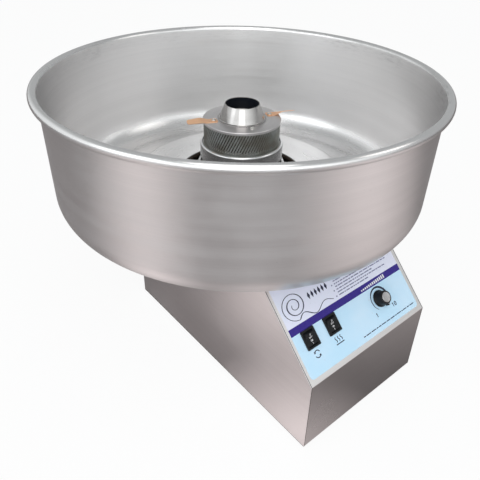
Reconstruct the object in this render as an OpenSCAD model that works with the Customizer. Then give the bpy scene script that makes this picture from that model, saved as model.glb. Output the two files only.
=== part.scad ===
// Tabletop cotton candy machine. A spun aluminium bowl stands round a spinning sugar head,
// on a folded steel cabinet with a sloping control panel. Units are millimetres, +Z is up,
// the front faces -Y, and the origin is on the table under the head's spin axis.

/* [Cabinet] */
// Width over the side panels
cab_w = 273; // [270:1:280]
// Distance from the spin axis forward to the front face
front_reach = 330; // [322:1:330]
// Distance from the spin axis back to the rear face
rear_reach = 148; // [144:1:156]
// Height of the fold where the control slope starts
fold_z = 140; // [136:1:144]
// Height of the cabinet's flat top
top_z = 268; // [266:0.5:268]
// Height of the sheet's lower edge above the table
edge_z = 4; // [3:0.5:6]
// Thickness of the cabinet sheet
sheet = 1.2; // [1:0.1:1.5]
// Height of the bottom tray above the table, which is also the height of the feet
tray_z = 10; // [9:0.5:12]

/* [Bowl] */
// Outer radius of the rolled rim
rim_r = 330.2; // [330.2:0.1:332]
// Height of the top of the rim
rim_z = 488; // [480:1:490]
// Radius of the rolled bead, to its outside
bead_r = 7; // [6:0.5:8]
// Thickness of the spun aluminium
bowl_t = 2; // [1.6:0.1:2.2]
// Height of the lowest outside face
bowl_z = 271; // [270.5:0.1:272]
// Radius of the bend between the wall and the floor
bowl_bend = 47; // [44:0.5:50]
// Lean of the wall from upright, in degrees
wall_lean = 0.6; // [0.4:0.1:0.8]
// Slope of the step up to the raised middle, in degrees
step_slope = 38; // [36:1:40]
// Inner radius of the hole that the head stands in
bowl_hole_r = 107; // [106:0.5:107]

/* [Spinning head] */
// Outer radius of the slotted band
band_r = 65.4; // [65:0.1:65.4]
// Height of the top of the head's lid
lid_z = 410.4; // [409:0.1:412]
// Height of the base disc that carries the band
base_z = 367.8; // [367:0.1:368]
// Number of slanting slots round the band
band_slots = 88; // [60:2:96]
// Slant of each slot from upright, in degrees
slot_slant = 25; // [15:1:28]
// Radius of the cup's rim
cup_r = 71.6; // [71:0.1:72]
// Inner radius of the funnel's mouth
mouth_r = 28.6; // [27:0.1:29]
// Height of the funnel's mouth
mouth_z = 436.5; // [432:0.5:440]
// Radius at the tips of the lift vanes
vane_tip_r = 96; // [90:1:97]
// Pitch of each lift vane at its tip, in degrees
vane_pitch = 24; // [15:1:25]
// Pleats round the heating ribbon
ribbon_pleats = 60; // [40:2:64]

/* [Controls] */
// Middle of the motor switch, from the left edge of the slope
motor_switch_u = 35.8; // [34:0.1:38]
// Middle of the heat switch, from the left edge of the slope
heat_switch_u = 82.6; // [80:0.1:86]
// Height of both switches up the slope
switch_v = 61.1; // [59:0.1:63]
// Middle of the heat knob, from the left edge of the slope
knob_u = 192.9; // [185:0.1:198]
// Height of the heat knob up the slope
knob_v = 53.4; // [52:0.1:56]
// Direction of the knob's pointer, anticlockwise from the right, in degrees
pointer_a = -60; // [-62:1:-58]
// Tilt of each rocker from level, in degrees
rocker_tilt = 9; // [7:1:10]

/* [Motor] */
// Radius of the motor case
motor_r = 62; // [61:0.5:63]
// Radius of the shaft where the bearings, rotor and head sit
shaft_r = 6.35; // [6.2:0.05:6.5]
// Running clearance between the shaft and its bearings
run_gap = 0.05; // [0.03:0.01:0.08]

/* [Hidden] */
$fn = 96;

fit_gap = 0.05;                        // round pieces that are assembled together
bend_step = 6;                         // largest turn between two points of a bend, in degrees
front_y = -front_reach;
rear_y = rear_reach;
inner_w = cab_w - 2 * sheet - 0.4;     // the wrap sits between the side panels
fold_rise = tan(22.5);                 // a 45 degree fold's set-back for each unit of radius
top_front_y = front_y + top_z - fold_z;
slope_len = (top_z - fold_z) * sqrt(2);
seam_y = top_front_y + 18;             // where the front sheet meets the top sheet
fold_r = 2;
tray_top = tray_z + sheet;
tray_lip = 14;
side_flange_w = 14;
corner_relief_r = 4;                   // notch in the side flange at each fold
side_flange_z = tray_top + tray_lip + 2;
rear_lip = 12;                         // the top sheet's fold down over the rear panel
rear_top_z = top_z - sheet / 2 - fold_r - rear_lip - 0.4;
foot_x = cab_w / 2 - 17.5;
foot_y = [front_y + 20, rear_y - 20];

plate_z = 250;                         // underside of the plate that carries the motor
plate_t = 3;
isolator_at = 62;                      // isolators stand at (+-, +-) this distance
rod_at = 38;                           // the motor's tie rods stand at (+-, +-) this distance
case_z = [100, 222];                   // lower and upper end of the motor case
lower_bell_z = 78;
bell_t = 3;
case_t = 2;
bearing_r = 16;
bearing_h = 10;
stack_z = [130, 190];                  // lower and upper end of the stator and rotor
stator_bore = 33;
stator_gap = 0.2;
winding_r = 41;
fan_z = 214;
shoulder_z = [247.5, 284];             // thick part of the shaft, above the upper bearing
shaft_end_z = 380;

hub_r = 20;
hub_z = [284, 334];                    // slip ring hub, clamped between shoulder and cup
ring_r = 24;
ring_h = 8;
ring_mids = [300, 318];
collar_z = [                           // collars of the hub, between which the rings sit
    [hub_z[0], ring_mids[0] - ring_h / 2],
    [ring_mids[0] + ring_h / 2, ring_mids[1] - ring_h / 2],
    [ring_mids[1] + ring_h / 2, ring_mids[1] + ring_h / 2 + 8]
];
stud_at = 13;                          // studs from the rings up to the ribbon
stud_r = 1.6;
brush_gap = 0.3;
brush_w = 7;
brush_x = [ring_r + brush_gap, 46];
holder_x = [28, 62];
brush_foot_at = [60, 11.5];
spring_turns = 6;

seat_r = 124;                          // outside of the bowl seat's wall
seat_flange_r = 134.5;
seat_in_r = 111;
seat_t = 1.5;
gasket_z = [304, 306.2];
shroud_r = 107;                        // foot of the shroud's cone
shroud_top_r = 73;
shroud_top_z = 333;
shroud_screw_r = 112;
seat_screw_r = 129.5;

pillar_at = 50;                        // the head's screws and pillars stand at this radius
pillar_angles = [70, 160, 250, 340];
vane_angles = [160, 340];
vane_t = 0.8;
vane_root = pillar_at - 6;
vane_stations = 12;
lid_t = 2;
lid_low = lid_z - lid_t;               // top of the band and of the pillars
base_t = 3;
funnel_t = 1;
funnel_flange_r = 41.5;
funnel_low_r = 38.4;
ribbon_r = [55.8, 61];
ribbon_t = 0.7;
ribbon_z = [base_z + 3.4, lid_low - 3.8];

bezel = [26.1, 29.4];
housing = [21.6, 26.8];
rocker_w = 18.4;
rocker_r = 11.4;
rocker_pin_r = 1.5;
rocker_pivot_z = -3;
label_t = 0.3;
label_margin = [6.5, 8.4, 8.3];        // left, right and bottom
label_h = 162;
knob_r = 13.9;
knob_h = 16.5;
cap_r = 8.3;
knob_low = 0.9;                        // underside of the knob above the slope
gland_at = [-90, 45];                  // across and up the rear panel
gland_bore = 4.2;
block_at = [-75, 95];
wire_r = 1.5;

// ---------- drawing aids ----------

// Stations [x, y, heading] along a bent strip; each step is [straight, turn, bend radius].
function stations(steps, x, y, a, i = 0) =
    i == len(steps) ? [[x, y, a]] :
    let (run = steps[i][0], turn = steps[i][1], r = steps[i][2], side = sign(turn),
         x1 = x + run * cos(a), y1 = y + run * sin(a),
         cx = x1 - side * r * sin(a), cy = y1 + side * r * cos(a), b = a + turn,
         n = ceil(abs(turn) / bend_step),
         arc = [for (k = [1:1:n - 1]) let (c = a + turn * k / n)
                [cx + side * r * sin(c), cy - side * r * cos(c), c]])
    concat([[x, y, a]], n > 0 && run > 0 ? [[x1, y1, a]] : [], arc,
           stations(steps, cx + side * r * sin(b), cy - side * r * cos(b), b, i + 1));

function strip_outline(s, t) = concat(
    [for (p = s) [p[0] - t / 2 * sin(p[2]), p[1] + t / 2 * cos(p[2])]],
    [for (i = [len(s) - 1:-1:0]) [s[i][0] + t / 2 * sin(s[i][2]), s[i][1] - t / 2 * cos(s[i][2])]]);

// Section of a sheet that starts at a point, heads off at an angle and follows the steps
module strip(steps, start, heading, t)
    polygon(strip_outline(stations(steps, start[0], start[1], heading), t));

module spun(steps, start, heading, t)
    rotate_extrude($fn = 180) strip(steps, start, heading, t);

// A section drawn in Y and Z, carried across the cabinet
module across(x0, w) translate([x0, 0, 0]) rotate([90, 0, 90]) linear_extrude(w) children();

module ring(r_in, r_out, z0, z1, fn = 96) translate([0, 0, z0]) difference() {
    cylinder(r = r_out, h = z1 - z0, $fn = fn);
    translate([0, 0, -1]) cylinder(r = r_in, h = z1 - z0 + 2, $fn = fn);
}

module rod(r, z0, z1) translate([0, 0, z0]) cylinder(r = r, h = z1 - z0);

module rounded_rect(w, h, r) {
    translate([r, 0]) square([w - 2 * r, h]);
    translate([0, r]) square([w, h - 2 * r]);
    for (x = [r, w - r], y = [r, h - r]) translate([x, y]) circle(r = r);
}

// Round-ended slot outline of length l and width w, lying along X
module slot(l, w) {
    square([l - w, w], center = true);
    for (x = [-1, 1] * (l - w) / 2) translate([x, 0]) circle(d = w, $fn = 24);
}

module at_corners(dx, dy) for (x = [-dx, dx], y = [-dy, dy]) translate([x, y, 0]) children();

module brush_screw_places() for (y = [-1, 1] * brush_foot_at[1])
    translate([brush_foot_at[0], y, 0]) children();

module round_axis(angles, r) for (a = angles) rotate(a) translate([r, 0, 0]) children();

// Local frame on the slope: X across, Y up the slope, Z out of it
module on_slope(u, v)
    translate([u - cab_w / 2, front_y + v * cos(45), fold_z + v * sin(45)])
        rotate([45, 0, 0]) children();

// Pan head screw with its head's underside at the origin, pointing down
module pan_screw(head_r, head_h, r, l) {
    rotate_extrude() intersection() {
        translate([0, head_h - head_r * 1.6]) circle(r = head_r * 1.6);
        square([head_r, head_h]);
    }
    translate([0, 0, -l]) cylinder(r = r, h = l);
}

module hex_ring(r, h, bore) difference() {
    cylinder(r = r, h = h, $fn = 6);
    translate([0, 0, -1]) cylinder(r = bore, h = h + 2);
}

// Cabinet outline in Y and Z, moved inwards by d and cut off at the height z0
function cabinet_outline(d, z0) = [
    [front_y + d, z0], [front_y + d, fold_z - fold_rise * d],
    [top_front_y + fold_rise * d, top_z - d], [rear_y - d, top_z - d], [rear_y - d, z0]
];

// ---------- cabinet ----------

module side_panel() {
    across(cab_w / 2 - sheet, sheet) polygon(cabinet_outline(0, edge_z));
    across(cab_w / 2 - sheet - side_flange_w, side_flange_w) difference() {
        polygon(cabinet_outline(sheet, side_flange_z));
        polygon(cabinet_outline(2 * sheet, side_flange_z - 1));
        for (i = [1:3]) translate(cabinet_outline(sheet, side_flange_z)[i]) circle(r = corner_relief_r);
    }
}

module rear_screw_places()
    for (x = [-1, 1] * (cab_w / 2 - sheet - side_flange_w / 2), z = [40, 140, 235])
        translate([x, rear_y, z]) rotate([-90, 0, 0]) children();

module cut_rear_screws() difference() {
    children();
    rear_screw_places() translate([0, 0, -6]) cylinder(r = 1.85, h = 10);
}

module left_side_panel() color("silver") cut_rear_screws() mirror([1, 0, 0]) side_panel();

module right_side_panel() color("silver") cut_rear_screws() side_panel();

// Front, slope and the start of the top, folded from one sheet
module front_panel() color("silver") difference() {
    half = sheet / 2;
    set_back = fold_rise * fold_r;
    across(-inner_w / 2, inner_w) strip([
        [fold_z - fold_rise * half - set_back - edge_z, -45, fold_r],
        [slope_len - 2 * fold_rise * half - 2 * set_back, -45, fold_r],
        [seam_y - top_front_y - fold_rise * half - set_back, 0, 0]
    ], [front_y + half, edge_z], 90, sheet);
    for (u = [motor_switch_u, heat_switch_u]) on_slope(u, switch_v)
        cube([housing[0] + 0.3, housing[1] + 0.3, 8], center = true);
    on_slope(knob_u, knob_v) translate([0, 0, -4]) cylinder(r = 4.8, h = 8);
}

module top_panel() color("silver") difference() {
    half = sheet / 2;
    across(-inner_w / 2, inner_w) strip([
        [rear_y - half - fold_r - seam_y - 0.2, -90, fold_r],
        [rear_lip, 0, 0]
    ], [seam_y + 0.2, top_z - half], 0, sheet);
    rod(16, top_z - 5, top_z + 5);
    at_corners(isolator_at, isolator_at) rod(2.7, top_z - 5, top_z + 5);
    round_axis([45:90:315], seat_screw_r) rod(1.6, top_z - 5, top_z + 5);
    round_axis([45:90:315], shroud_screw_r) rod(1.6, top_z - 5, top_z + 5);
    brush_screw_places() rod(1.6, top_z - 5, top_z + 5);
    translate([0, 40, 0]) rod(5, top_z - 5, top_z + 5);
}

module rear_panel() color("silver") cut_rear_screws() difference() {
    translate([-inner_w / 2, rear_y - sheet, edge_z]) cube([inner_w, sheet, rear_top_z - edge_z]);
    for (row = [0:5], col = [-2:2]) translate([col * 36, rear_y, 150 + row * 14])
        rotate([90, 0, 0]) linear_extrude(8, center = true) slot(26, 5);
    translate([gland_at[0], rear_y, gland_at[1]]) rotate([90, 0, 0])
        cylinder(r = 8.1, h = 8, center = true);
}

module foot_places() for (x = [-foot_x, foot_x], y = foot_y) translate([x, y, 0]) children();

// Tray that closes the bottom, with an upturned lip welded to the walls
module bottom_tray() color("gainsboro") difference() {
    out = [inner_w - 0.2, rear_y - front_y - 2 * sheet - 0.2];
    middle = [0, (front_y + rear_y) / 2];
    translate([middle[0], middle[1], tray_z + (sheet + tray_lip) / 2])
        cube([out[0], out[1], sheet + tray_lip], center = true);
    translate([middle[0], middle[1], tray_top + tray_lip / 2 + 1])
        cube([out[0] - 2 * sheet, out[1] - 2 * sheet, tray_lip + 2], center = true);
    foot_places() rod(2.6, tray_z - 1, tray_top + 1);
    for (row = [0:4], col = [-1, 1]) translate([col * 40, -60 + row * 22, tray_z])
        linear_extrude(6, center = true) slot(56, 7);
    for (dx = [-12, 12]) translate([block_at[0] + dx, block_at[1], 0])
        rod(1.7, tray_z - 1, tray_top + 1);
}

module rubber_feet() color("dimgray") foot_places() rotate_extrude() difference() {
    union() {
        square([9.5, tray_z]);
        square([12.5, tray_z - 2]);
        translate([10.5, tray_z - 2]) circle(r = 2, $fn = 48);
    }
    square([2.6, tray_z + 1]);
    translate([0, -1]) square([6, 5]);
}

module foot_screws() color("silver") foot_places() {
    translate([0, 0, 4]) mirror([0, 0, 1]) pan_screw(5, 2.6, 2.5, 14);
    translate([0, 0, tray_top]) hex_ring(4.6, 3.6, 2.55);
}

module panel_screws() color("silver") rear_screw_places() pan_screw(3.6, 2.2, 1.8, 6);

// ---------- control panel ----------

// Printed film stuck on the slope
module control_label() color([0.8, 0.86, 0.98]) on_slope(0, 0) difference() {
    translate([label_margin[0], label_margin[2], 0]) linear_extrude(label_t)
        rounded_rect(cab_w - label_margin[0] - label_margin[1], label_h, 6);
    for (u = [motor_switch_u, heat_switch_u]) translate([u, switch_v, 0])
        cube([housing[0] + 0.3, housing[1] + 0.3, 8], center = true);
    translate([knob_u, knob_v, -4]) cylinder(r = 4.8, h = 8);
}

// Moulded switch body that snaps into the slope, with a pocket and side holes for the rocker
module switch_housing(u) color([0.08, 0.08, 0.09]) on_slope(u, switch_v) difference() {
    union() {
        translate([-bezel[0] / 2, -bezel[1] / 2, label_t]) linear_extrude(2)
            rounded_rect(bezel[0], bezel[1], 1.2);
        translate([-housing[0] / 2, -housing[1] / 2, -24]) cube([housing[0], housing[1], 24 + label_t]);
        for (s = [-1, 1]) translate([-4, s * (housing[1] / 2 + 0.6) - 0.6, -4.6])
            cube([8, 1.2, 3]);
    }
    translate([-rocker_w / 2 - 0.3, 0, rocker_pivot_z]) rotate([0, 90, 0])
        cylinder(r = rocker_r + 0.3, h = rocker_w + 0.6);
    translate([-rocker_w / 2 - 0.3, -rocker_r - 0.3, rocker_pivot_z])
        cube([rocker_w + 0.6, 2 * rocker_r + 0.6, 12]);
    translate([-rocker_w / 2 - 1.2, 0, rocker_pivot_z]) rotate([0, 90, 0])
        cylinder(r = rocker_pin_r + run_gap, h = rocker_w + 2.4, $fn = 48);
}

module motor_switch_housing() switch_housing(motor_switch_u);

module heat_switch_housing() switch_housing(heat_switch_u);

// Rocker with a shallow V top and round ends, tipped so that its lower end is pressed in
module rocker(u) color([0.06, 0.06, 0.07]) on_slope(u, switch_v)
    translate([0, 0, rocker_pivot_z]) rotate([rocker_tilt, 0, 0]) {
        translate([-rocker_w / 2, 0, 0]) rotate([90, 0, 90]) linear_extrude(rocker_w)
            intersection() {
                circle(r = rocker_r);
                polygon([[-13, -5], [13, -5], [13, 5.4 + 13 * tan(rocker_tilt)], [0, 5.4],
                         [-13, 5.4 + 13 * tan(rocker_tilt)]]);
            }
        for (s = [-1, 1]) translate([s * rocker_w / 2, 0, 0]) rotate([0, s * 90, 0])
            cylinder(r = rocker_pin_r, h = 0.9, $fn = 48);
    }

module motor_rocker() rocker(motor_switch_u);

module heat_rocker() rocker(heat_switch_u);

module switch_terminals() color("goldenrod")
    for (u = [motor_switch_u, heat_switch_u]) on_slope(u, switch_v)
        for (x = [-6, 6], y = [-7, 0, 7]) translate([x - 0.4, y - 2.4, -33])
            difference() {
                cube([0.8, 4.8, 9]);
                translate([-1, 2.4, 3]) rotate([0, 90, 0]) cylinder(r = 0.8, h = 3, $fn = 24);
            }

// Heat control: a round housing with a heat sink behind it and a bushing through the slope
module heat_control_body() color([0.25, 0.25, 0.27]) on_slope(knob_u, knob_v) difference() {
    union() {
        translate([0, 0, -sheet - 18]) cylinder(r = 17, h = 18);
        translate([-21, -21, -sheet - 21]) cube([42, 42, 3]);
        for (x = [-20:8:20]) translate([x - 0.8, -21, -sheet - 35]) cube([1.6, 42, 14]);
        translate([0, 0, -sheet]) cylinder(r = 4.7, h = sheet + 5);
    }
    translate([0, 0, -sheet - 16]) cylinder(r = 3 + run_gap, h = 30);
}

module heat_control_nut() color("silver") on_slope(knob_u, knob_v) translate([0, 0, label_t])
    hex_ring(7, 2.4, 4.7 + fit_gap);

module heat_control_shaft() color("silver") on_slope(knob_u, knob_v)
    translate([0, 0, -sheet - 15.6]) cylinder(r = 3, h = sheet + 15.6 + 13);

// Tapered knob with a wide skirt and a pointer nib
module heat_knob() color([0.07, 0.08, 0.08]) on_slope(knob_u, knob_v) difference() {
    union() {
        rotate_extrude()
            polygon([[0, knob_low], [knob_r, knob_low], [knob_r, 2.6], [knob_r - 1, 3.8],
                     [11.9, 5], [10.8, knob_h - 0.8], [10, knob_h], [0, knob_h]]);
        rotate(pointer_a) translate([9, -2.6, knob_low]) cube([7, 5.2, 6]);
        rotate(pointer_a) translate([16, 0, knob_low]) cylinder(r = 2.6, h = 6);
    }
    translate([0, 0, -1]) cylinder(r = 8, h = 6.5);
    translate([0, 0, -1]) cylinder(r = 3 + fit_gap, h = 14.3);
    translate([0, 0, knob_h - 1]) cylinder(r = cap_r + fit_gap, h = 2);
    rotate(pointer_a + 180) translate([0, 0, 9]) rotate([0, 90, 0]) cylinder(r = 1.55, h = 20);
}

module knob_cap() color("gainsboro") on_slope(knob_u, knob_v) translate([0, 0, knob_h - 1])
    rotate_extrude() difference() {
        square([cap_r, 1.5]);
        translate([0, 1.5 + 30 - 0.4]) circle(r = 30, $fn = 180);
    }

module knob_set_screw() color("silver") on_slope(knob_u, knob_v)
    rotate(pointer_a + 180) translate([3 + fit_gap, 0, 9]) rotate([0, 90, 0]) difference() {
        cylinder(r = 1.5, h = 5);
        translate([0, 0, 3.6]) cylinder(r = 0.8, h = 3, $fn = 6);
    }

// ---------- motor ----------

module motor_plate() color("gainsboro") difference() {
    translate([-80, -80, plate_z]) linear_extrude(plate_t) rounded_rect(160, 160, 10);
    rod(20, plate_z - 1, plate_z + plate_t + 1);
    at_corners(isolator_at, isolator_at) rod(2.7, plate_z - 1, plate_z + plate_t + 1);
    at_corners(rod_at, rod_at) rod(2.6, plate_z - 1, plate_z + plate_t + 1);
    for (a = [0:90:270]) rotate(a) translate([0, 66, plate_z]) linear_extrude(8, center = true)
        slot(50, 8);
}

module motor_isolators() color("dimgray") at_corners(isolator_at, isolator_at)
    rotate_extrude() difference() {
        translate([2.7, plate_z + plate_t]) square([7.3, top_z - sheet - plate_z - plate_t]);
        translate([13.6, (plate_z + plate_t + top_z - sheet) / 2]) circle(r = 5, $fn = 48);
    }

module motor_plate_screws() color("silver") at_corners(isolator_at, isolator_at) {
    translate([0, 0, top_z]) pan_screw(4.6, 3, 2.5, top_z - plate_z + 6);
    translate([0, 0, plate_z - 4]) hex_ring(4.6, 4, 2.55);
}

module motor_case() color([0.35, 0.36, 0.38]) difference() {
    ring(motor_r - case_t, motor_r, case_z[0], case_z[1], 120);
    for (a = [0:45:315], z = [case_z[0] + 12, case_z[1] - 12]) rotate(a)
        translate([motor_r - 1, 0, z]) rotate([90, 0, 90]) linear_extrude(8, center = true)
            slot(22, 5);
}

// End bell: a dished cap with a bearing pocket and air slots, drawn as the upper one.
// z0 is the height of its flat outer face.
module end_bell(z0, depth) difference() {
    rotate_extrude($fn = 120) {
        translate([10, z0 - bell_t]) square([motor_r - 10, bell_t]);
        translate([motor_r - bell_t, z0 - depth]) square([bell_t, depth]);
        translate([bearing_r + fit_gap, z0 - bell_t - bearing_h]) square([4, bearing_h]);
    }
    for (a = [0:45:315]) rotate(a) translate([motor_r / 2 + 7, 0, z0]) linear_extrude(12, center = true)
        slot(18, 7);
    at_corners(rod_at, rod_at) rod(2.6, z0 - depth, z0 + 1);
}

module motor_upper_bell() color([0.6, 0.6, 0.62]) end_bell(plate_z, plate_z - case_z[1]);

module motor_lower_bell() color([0.6, 0.6, 0.62]) translate([0, 0, 2 * lower_bell_z])
    mirror([0, 0, 1]) end_bell(lower_bell_z, case_z[0] - lower_bell_z);

module bearing(z0) {
    difference() {
        ring(shaft_r + run_gap, bearing_r, z0, z0 + bearing_h);
        for (z = [z0, z0 + bearing_h]) translate([0, 0, z - 0.4]) difference() {
            cylinder(r = 13.5, h = 0.8);
            translate([0, 0, -1]) cylinder(r = 9, h = 3);
        }
    }
}

module upper_bearing() color("silver") bearing(plate_z - bell_t - bearing_h);

module lower_bearing() color("silver") bearing(lower_bell_z + bell_t);

module motor_tie_rods() color("silver") at_corners(rod_at, rod_at) {
    translate([0, 0, lower_bell_z]) mirror([0, 0, 1])
        pan_screw(4.6, 3, 2.5, plate_z + plate_t + 7 - lower_bell_z);
    translate([0, 0, plate_z + plate_t]) hex_ring(4.6, 4, 2.55);
}

module stator_core() color([0.45, 0.46, 0.48]) difference() {
    ring(stator_bore, motor_r - case_t - stator_gap, stack_z[0], stack_z[1], 120);
    round_axis([0:45:315], winding_r) rod(5, stack_z[0] - 1, stack_z[1] + 1);
    for (a = [0:45:315]) rotate(a) translate([stator_bore - 2, -1, stack_z[0] - 1])
        cube([6, 2, stack_z[1] - stack_z[0] + 2]);
    at_corners(rod_at, rod_at) rod(2.7, stack_z[0] - 1, stack_z[1] + 1);
}

// Copper windings: bars through the stator slots, joined by a round bundle at each end
module field_coils() color("peru") {
    for (z = [stack_z[0] - 8.5, stack_z[1] + 8.5]) translate([0, 0, z]) rotate_extrude()
        translate([winding_r + 1.5, 0]) circle(r = 7.5, $fn = 48);
    round_axis([0:45:315], winding_r) rod(4.6, stack_z[0] - 4, stack_z[1] + 4);
}

// ---------- rotating assembly ----------

module motor_shaft() color("silver") {
    rod(shaft_r, lower_bell_z + bell_t + 2, shaft_end_z);
    rod(8, shoulder_z[0], shoulder_z[1]);
}

module motor_rotor() color([0.5, 0.5, 0.52]) difference() {
    union() {
        rod(stator_bore - 0.8, stack_z[0], stack_z[1]);
        rod(29, stack_z[0] - 5, stack_z[1] + 5);
    }
    rod(shaft_r + fit_gap, stack_z[0] - 6, stack_z[1] + 6);
    ring(12, 20, stack_z[0] - 6, stack_z[0]);
    ring(12, 20, stack_z[1], stack_z[1] + 6);
}

module cooling_fan() color([0.2, 0.2, 0.22]) difference() {
    union() {
        rod(12, fan_z - 6, fan_z + 9);
        rod(50, fan_z, fan_z + 1.6);
        for (a = [0:36:324]) rotate(a) translate([14, 0, fan_z]) rotate([0, 0, 25])
            translate([0, -0.8, 0]) cube([33, 1.6, 8]);
    }
    rod(shaft_r + fit_gap, fan_z - 7, fan_z + 10);
}

// Moulded insulator that carries the slip rings under the head
module slip_ring_hub() color("saddlebrown") difference() {
    union() {
        rod(hub_r, hub_z[0], hub_z[1]);
        rod(30, hub_z[1] - 5, hub_z[1]);
        for (z = collar_z) rod(hub_r + 2, z[0], z[1]);
    }
    rod(shaft_r + fit_gap, hub_z[0] - 1, hub_z[1] + 1);
    for (i = [0, 1]) rotate(i * 180) {
        translate([stud_at, 0, 0]) rod(stud_r + fit_gap, ring_mids[i] - 2, hub_z[1] + 1);
        translate([stud_at, -stud_r - fit_gap, ring_mids[i] - 2])
            cube([hub_r + 4 - stud_at, 2 * stud_r + 2 * fit_gap, 4]);
    }
}

// Two brass rings, each with a stud up to its end of the heating ribbon
module slip_rings() color("goldenrod") for (i = [0, 1]) rotate(i * 180) {
    mid = ring_mids[i];
    ring(hub_r + fit_gap, ring_r, mid - ring_h / 2, mid + ring_h / 2);
    translate([stud_at, -stud_r, mid - 1.9]) cube([hub_r + 1 - stud_at, 2 * stud_r, 3.8]);
    translate([stud_at, 0, 0]) rod(stud_r, mid - 1.9, ribbon_z[0] + 4);
    translate([stud_at, -stud_r, ribbon_z[0] + 1])
        cube([ribbon_r[0] - ribbon_t - stud_at, 2 * stud_r, 1.2]);
}

module stud_holes(z0, z1) for (x = [-stud_at, stud_at]) translate([x, 0, 0]) rod(3, z0, z1);

// Spun cup that hides the underside of the head, with an upright wall and a rounded shoulder
module head_cup() color("gainsboro") difference() {
    cup_t = 2;
    cup_in_r = 8;
    cup_bend = 8;
    shoulder = 3;
    floor_mid = hub_z[1] + cup_t / 2;
    wall = base_z + 0.2 - shoulder - floor_mid - cup_bend;
    spun([[cup_r - cup_t / 2 - cup_bend - cup_in_r, 90, cup_bend],
          [wall, 80, shoulder], [0.4, 0, 0]], [cup_in_r, floor_mid], 0, cup_t);
    stud_holes(hub_z[1] - 1, hub_z[1] + 4);
}

// Base disc with its boss on the cup and four pillars up to the lid
module head_base() color("silver") difference() {
    union() {
        rod(band_r + 1.1, base_z - base_t, base_z);
        rod(20, hub_z[1] + 2, base_z);
        round_axis(pillar_angles, pillar_at) rod(3, base_z - 1, lid_low);
    }
    rod(shaft_r + fit_gap, hub_z[1], base_z + 1);
    stud_holes(hub_z[1], base_z + 1);
    round_axis(pillar_angles, pillar_at) rod(1.75, lid_low - 14, lid_low + 1);
}

// Ceramic rings above and below the ribbon
module element_insulators() color("ivory") {
    ring(ribbon_r[0] - 1.3, ribbon_r[1] + 1.5, base_z, ribbon_z[0]);
    ring(ribbon_r[0] - 1.3, ribbon_r[1] + 1.5, ribbon_z[1], lid_low);
}

// Pleated outline: points go in and out between two radii
function pleats(r_in, r_out) = [for (i = [0:2 * ribbon_pleats - 1])
    let (a = i * 180 / ribbon_pleats, r = i % 2 == 0 ? r_in : r_out) [r * cos(a), r * sin(a)]];

module heating_ribbon() color([0.45, 0.4, 0.38]) translate([0, 0, ribbon_z[0]])
    linear_extrude(ribbon_z[1] - ribbon_z[0]) difference() {
        polygon(pleats(ribbon_r[0], ribbon_r[1]));
        polygon(pleats(ribbon_r[0] - ribbon_t, ribbon_r[1] - ribbon_t));
    }

// Thin band with slanting slots all round, through which the melted sugar is thrown
module slotted_band() color([0.36, 0.37, 0.33]) difference() {
    band_t = 1.2;
    slot_w = 1.8;
    slot_l = (lid_low - base_z - 7) / cos(slot_slant) - slot_w * tan(slot_slant);
    ring(band_r - band_t, band_r, base_z, lid_low, 180);
    for (i = [0:band_slots - 1]) rotate(i * 360 / band_slots)
        translate([band_r, 0, (base_z + lid_low) / 2]) rotate([-slot_slant, 0, 0])
            cube([8, slot_w, slot_l], center = true);
}

// Lid of the head: a disc with a short lip over the band
module head_lid() color("silver") difference() {
    lip_t = 1.1;
    rotate_extrude($fn = 180) difference() {
        union() {
            translate([0, lid_low]) square([band_r + 0.1, lid_t]);
            translate([0, lid_low - 2.6]) square([band_r + 0.1 + lip_t, lid_t + 2.6 - lid_t * 0.75]);
            translate([band_r + 0.1 + lip_t - 1.5, lid_z - 1.5]) circle(r = 1.5, $fn = 48);
        }
        translate([-1, lid_low - 3]) square([band_r + 1.1, 3]);
    }
    rod(funnel_low_r - 2, lid_low - 1, lid_z + 1);
    round_axis(pillar_angles, pillar_at) rod(2.1, lid_low - 1, lid_z + 1);
}

// Spun funnel on the lid, with a flat foot and a plain mouth
module sugar_funnel() color("gainsboro") {
    rise = mouth_z - lid_z - 1.7;
    lean = atan2(rise, funnel_low_r - mouth_r - funnel_t / 2);
    spun([[funnel_flange_r - funnel_low_r - 1, -lean, 1.6], [rise / sin(lean), 0, 0]],
         [funnel_flange_r, lid_z + funnel_t / 2], 180, funnel_t);
}

// Corners of a vane's section at the way k from root (0) to tip (1)
function vane_section(k) =
    let (r = vane_root + (vane_tip_r - vane_root) * k, w = 17 - 7 * k,
         pitch = vane_pitch * min(1, max(0, (k - 0.25) / 0.35)), z = lid_z + vane_t / 2)
    [for (c = [[-1, -1], [1, -1], [1, 1], [-1, 1]])
        [r, c[0] * w / 2 * cos(pitch) + c[1] * vane_t / 2 * sin(pitch),
         z + sin(pitch) * w / 2 - c[0] * w / 2 * sin(pitch) + c[1] * vane_t / 2 * cos(pitch)]];

// Two sheet vanes, flat under their screws and twisted like propeller blades beyond the lid
module lift_vanes() color("peru") for (a = vane_angles) rotate(a) difference() {
    polyhedron(
        points = [for (i = [0:vane_stations]) each vane_section(i / vane_stations)],
        faces = concat(
            [[0, 1, 2, 3], [for (c = [3:-1:0]) vane_stations * 4 + c]],
            [for (i = [0:vane_stations - 1], c = [0:3]) let (d = (c + 1) % 4)
                each [[i * 4 + c, i * 4 + 4 + c, i * 4 + 4 + d], [i * 4 + c, i * 4 + 4 + d, i * 4 + d]]]),
        convexity = 4);
    translate([pillar_at, 0, 0]) rod(2.1, lid_z - 1, lid_z + 3);
}

module head_screws() color("silver") for (a = pillar_angles)
    rotate(a) translate([pillar_at, 0, lid_z + (len(search(a, vane_angles)) > 0 ? vane_t : 0)])
        pan_screw(4, 2.6, 1.7, 12);

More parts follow.
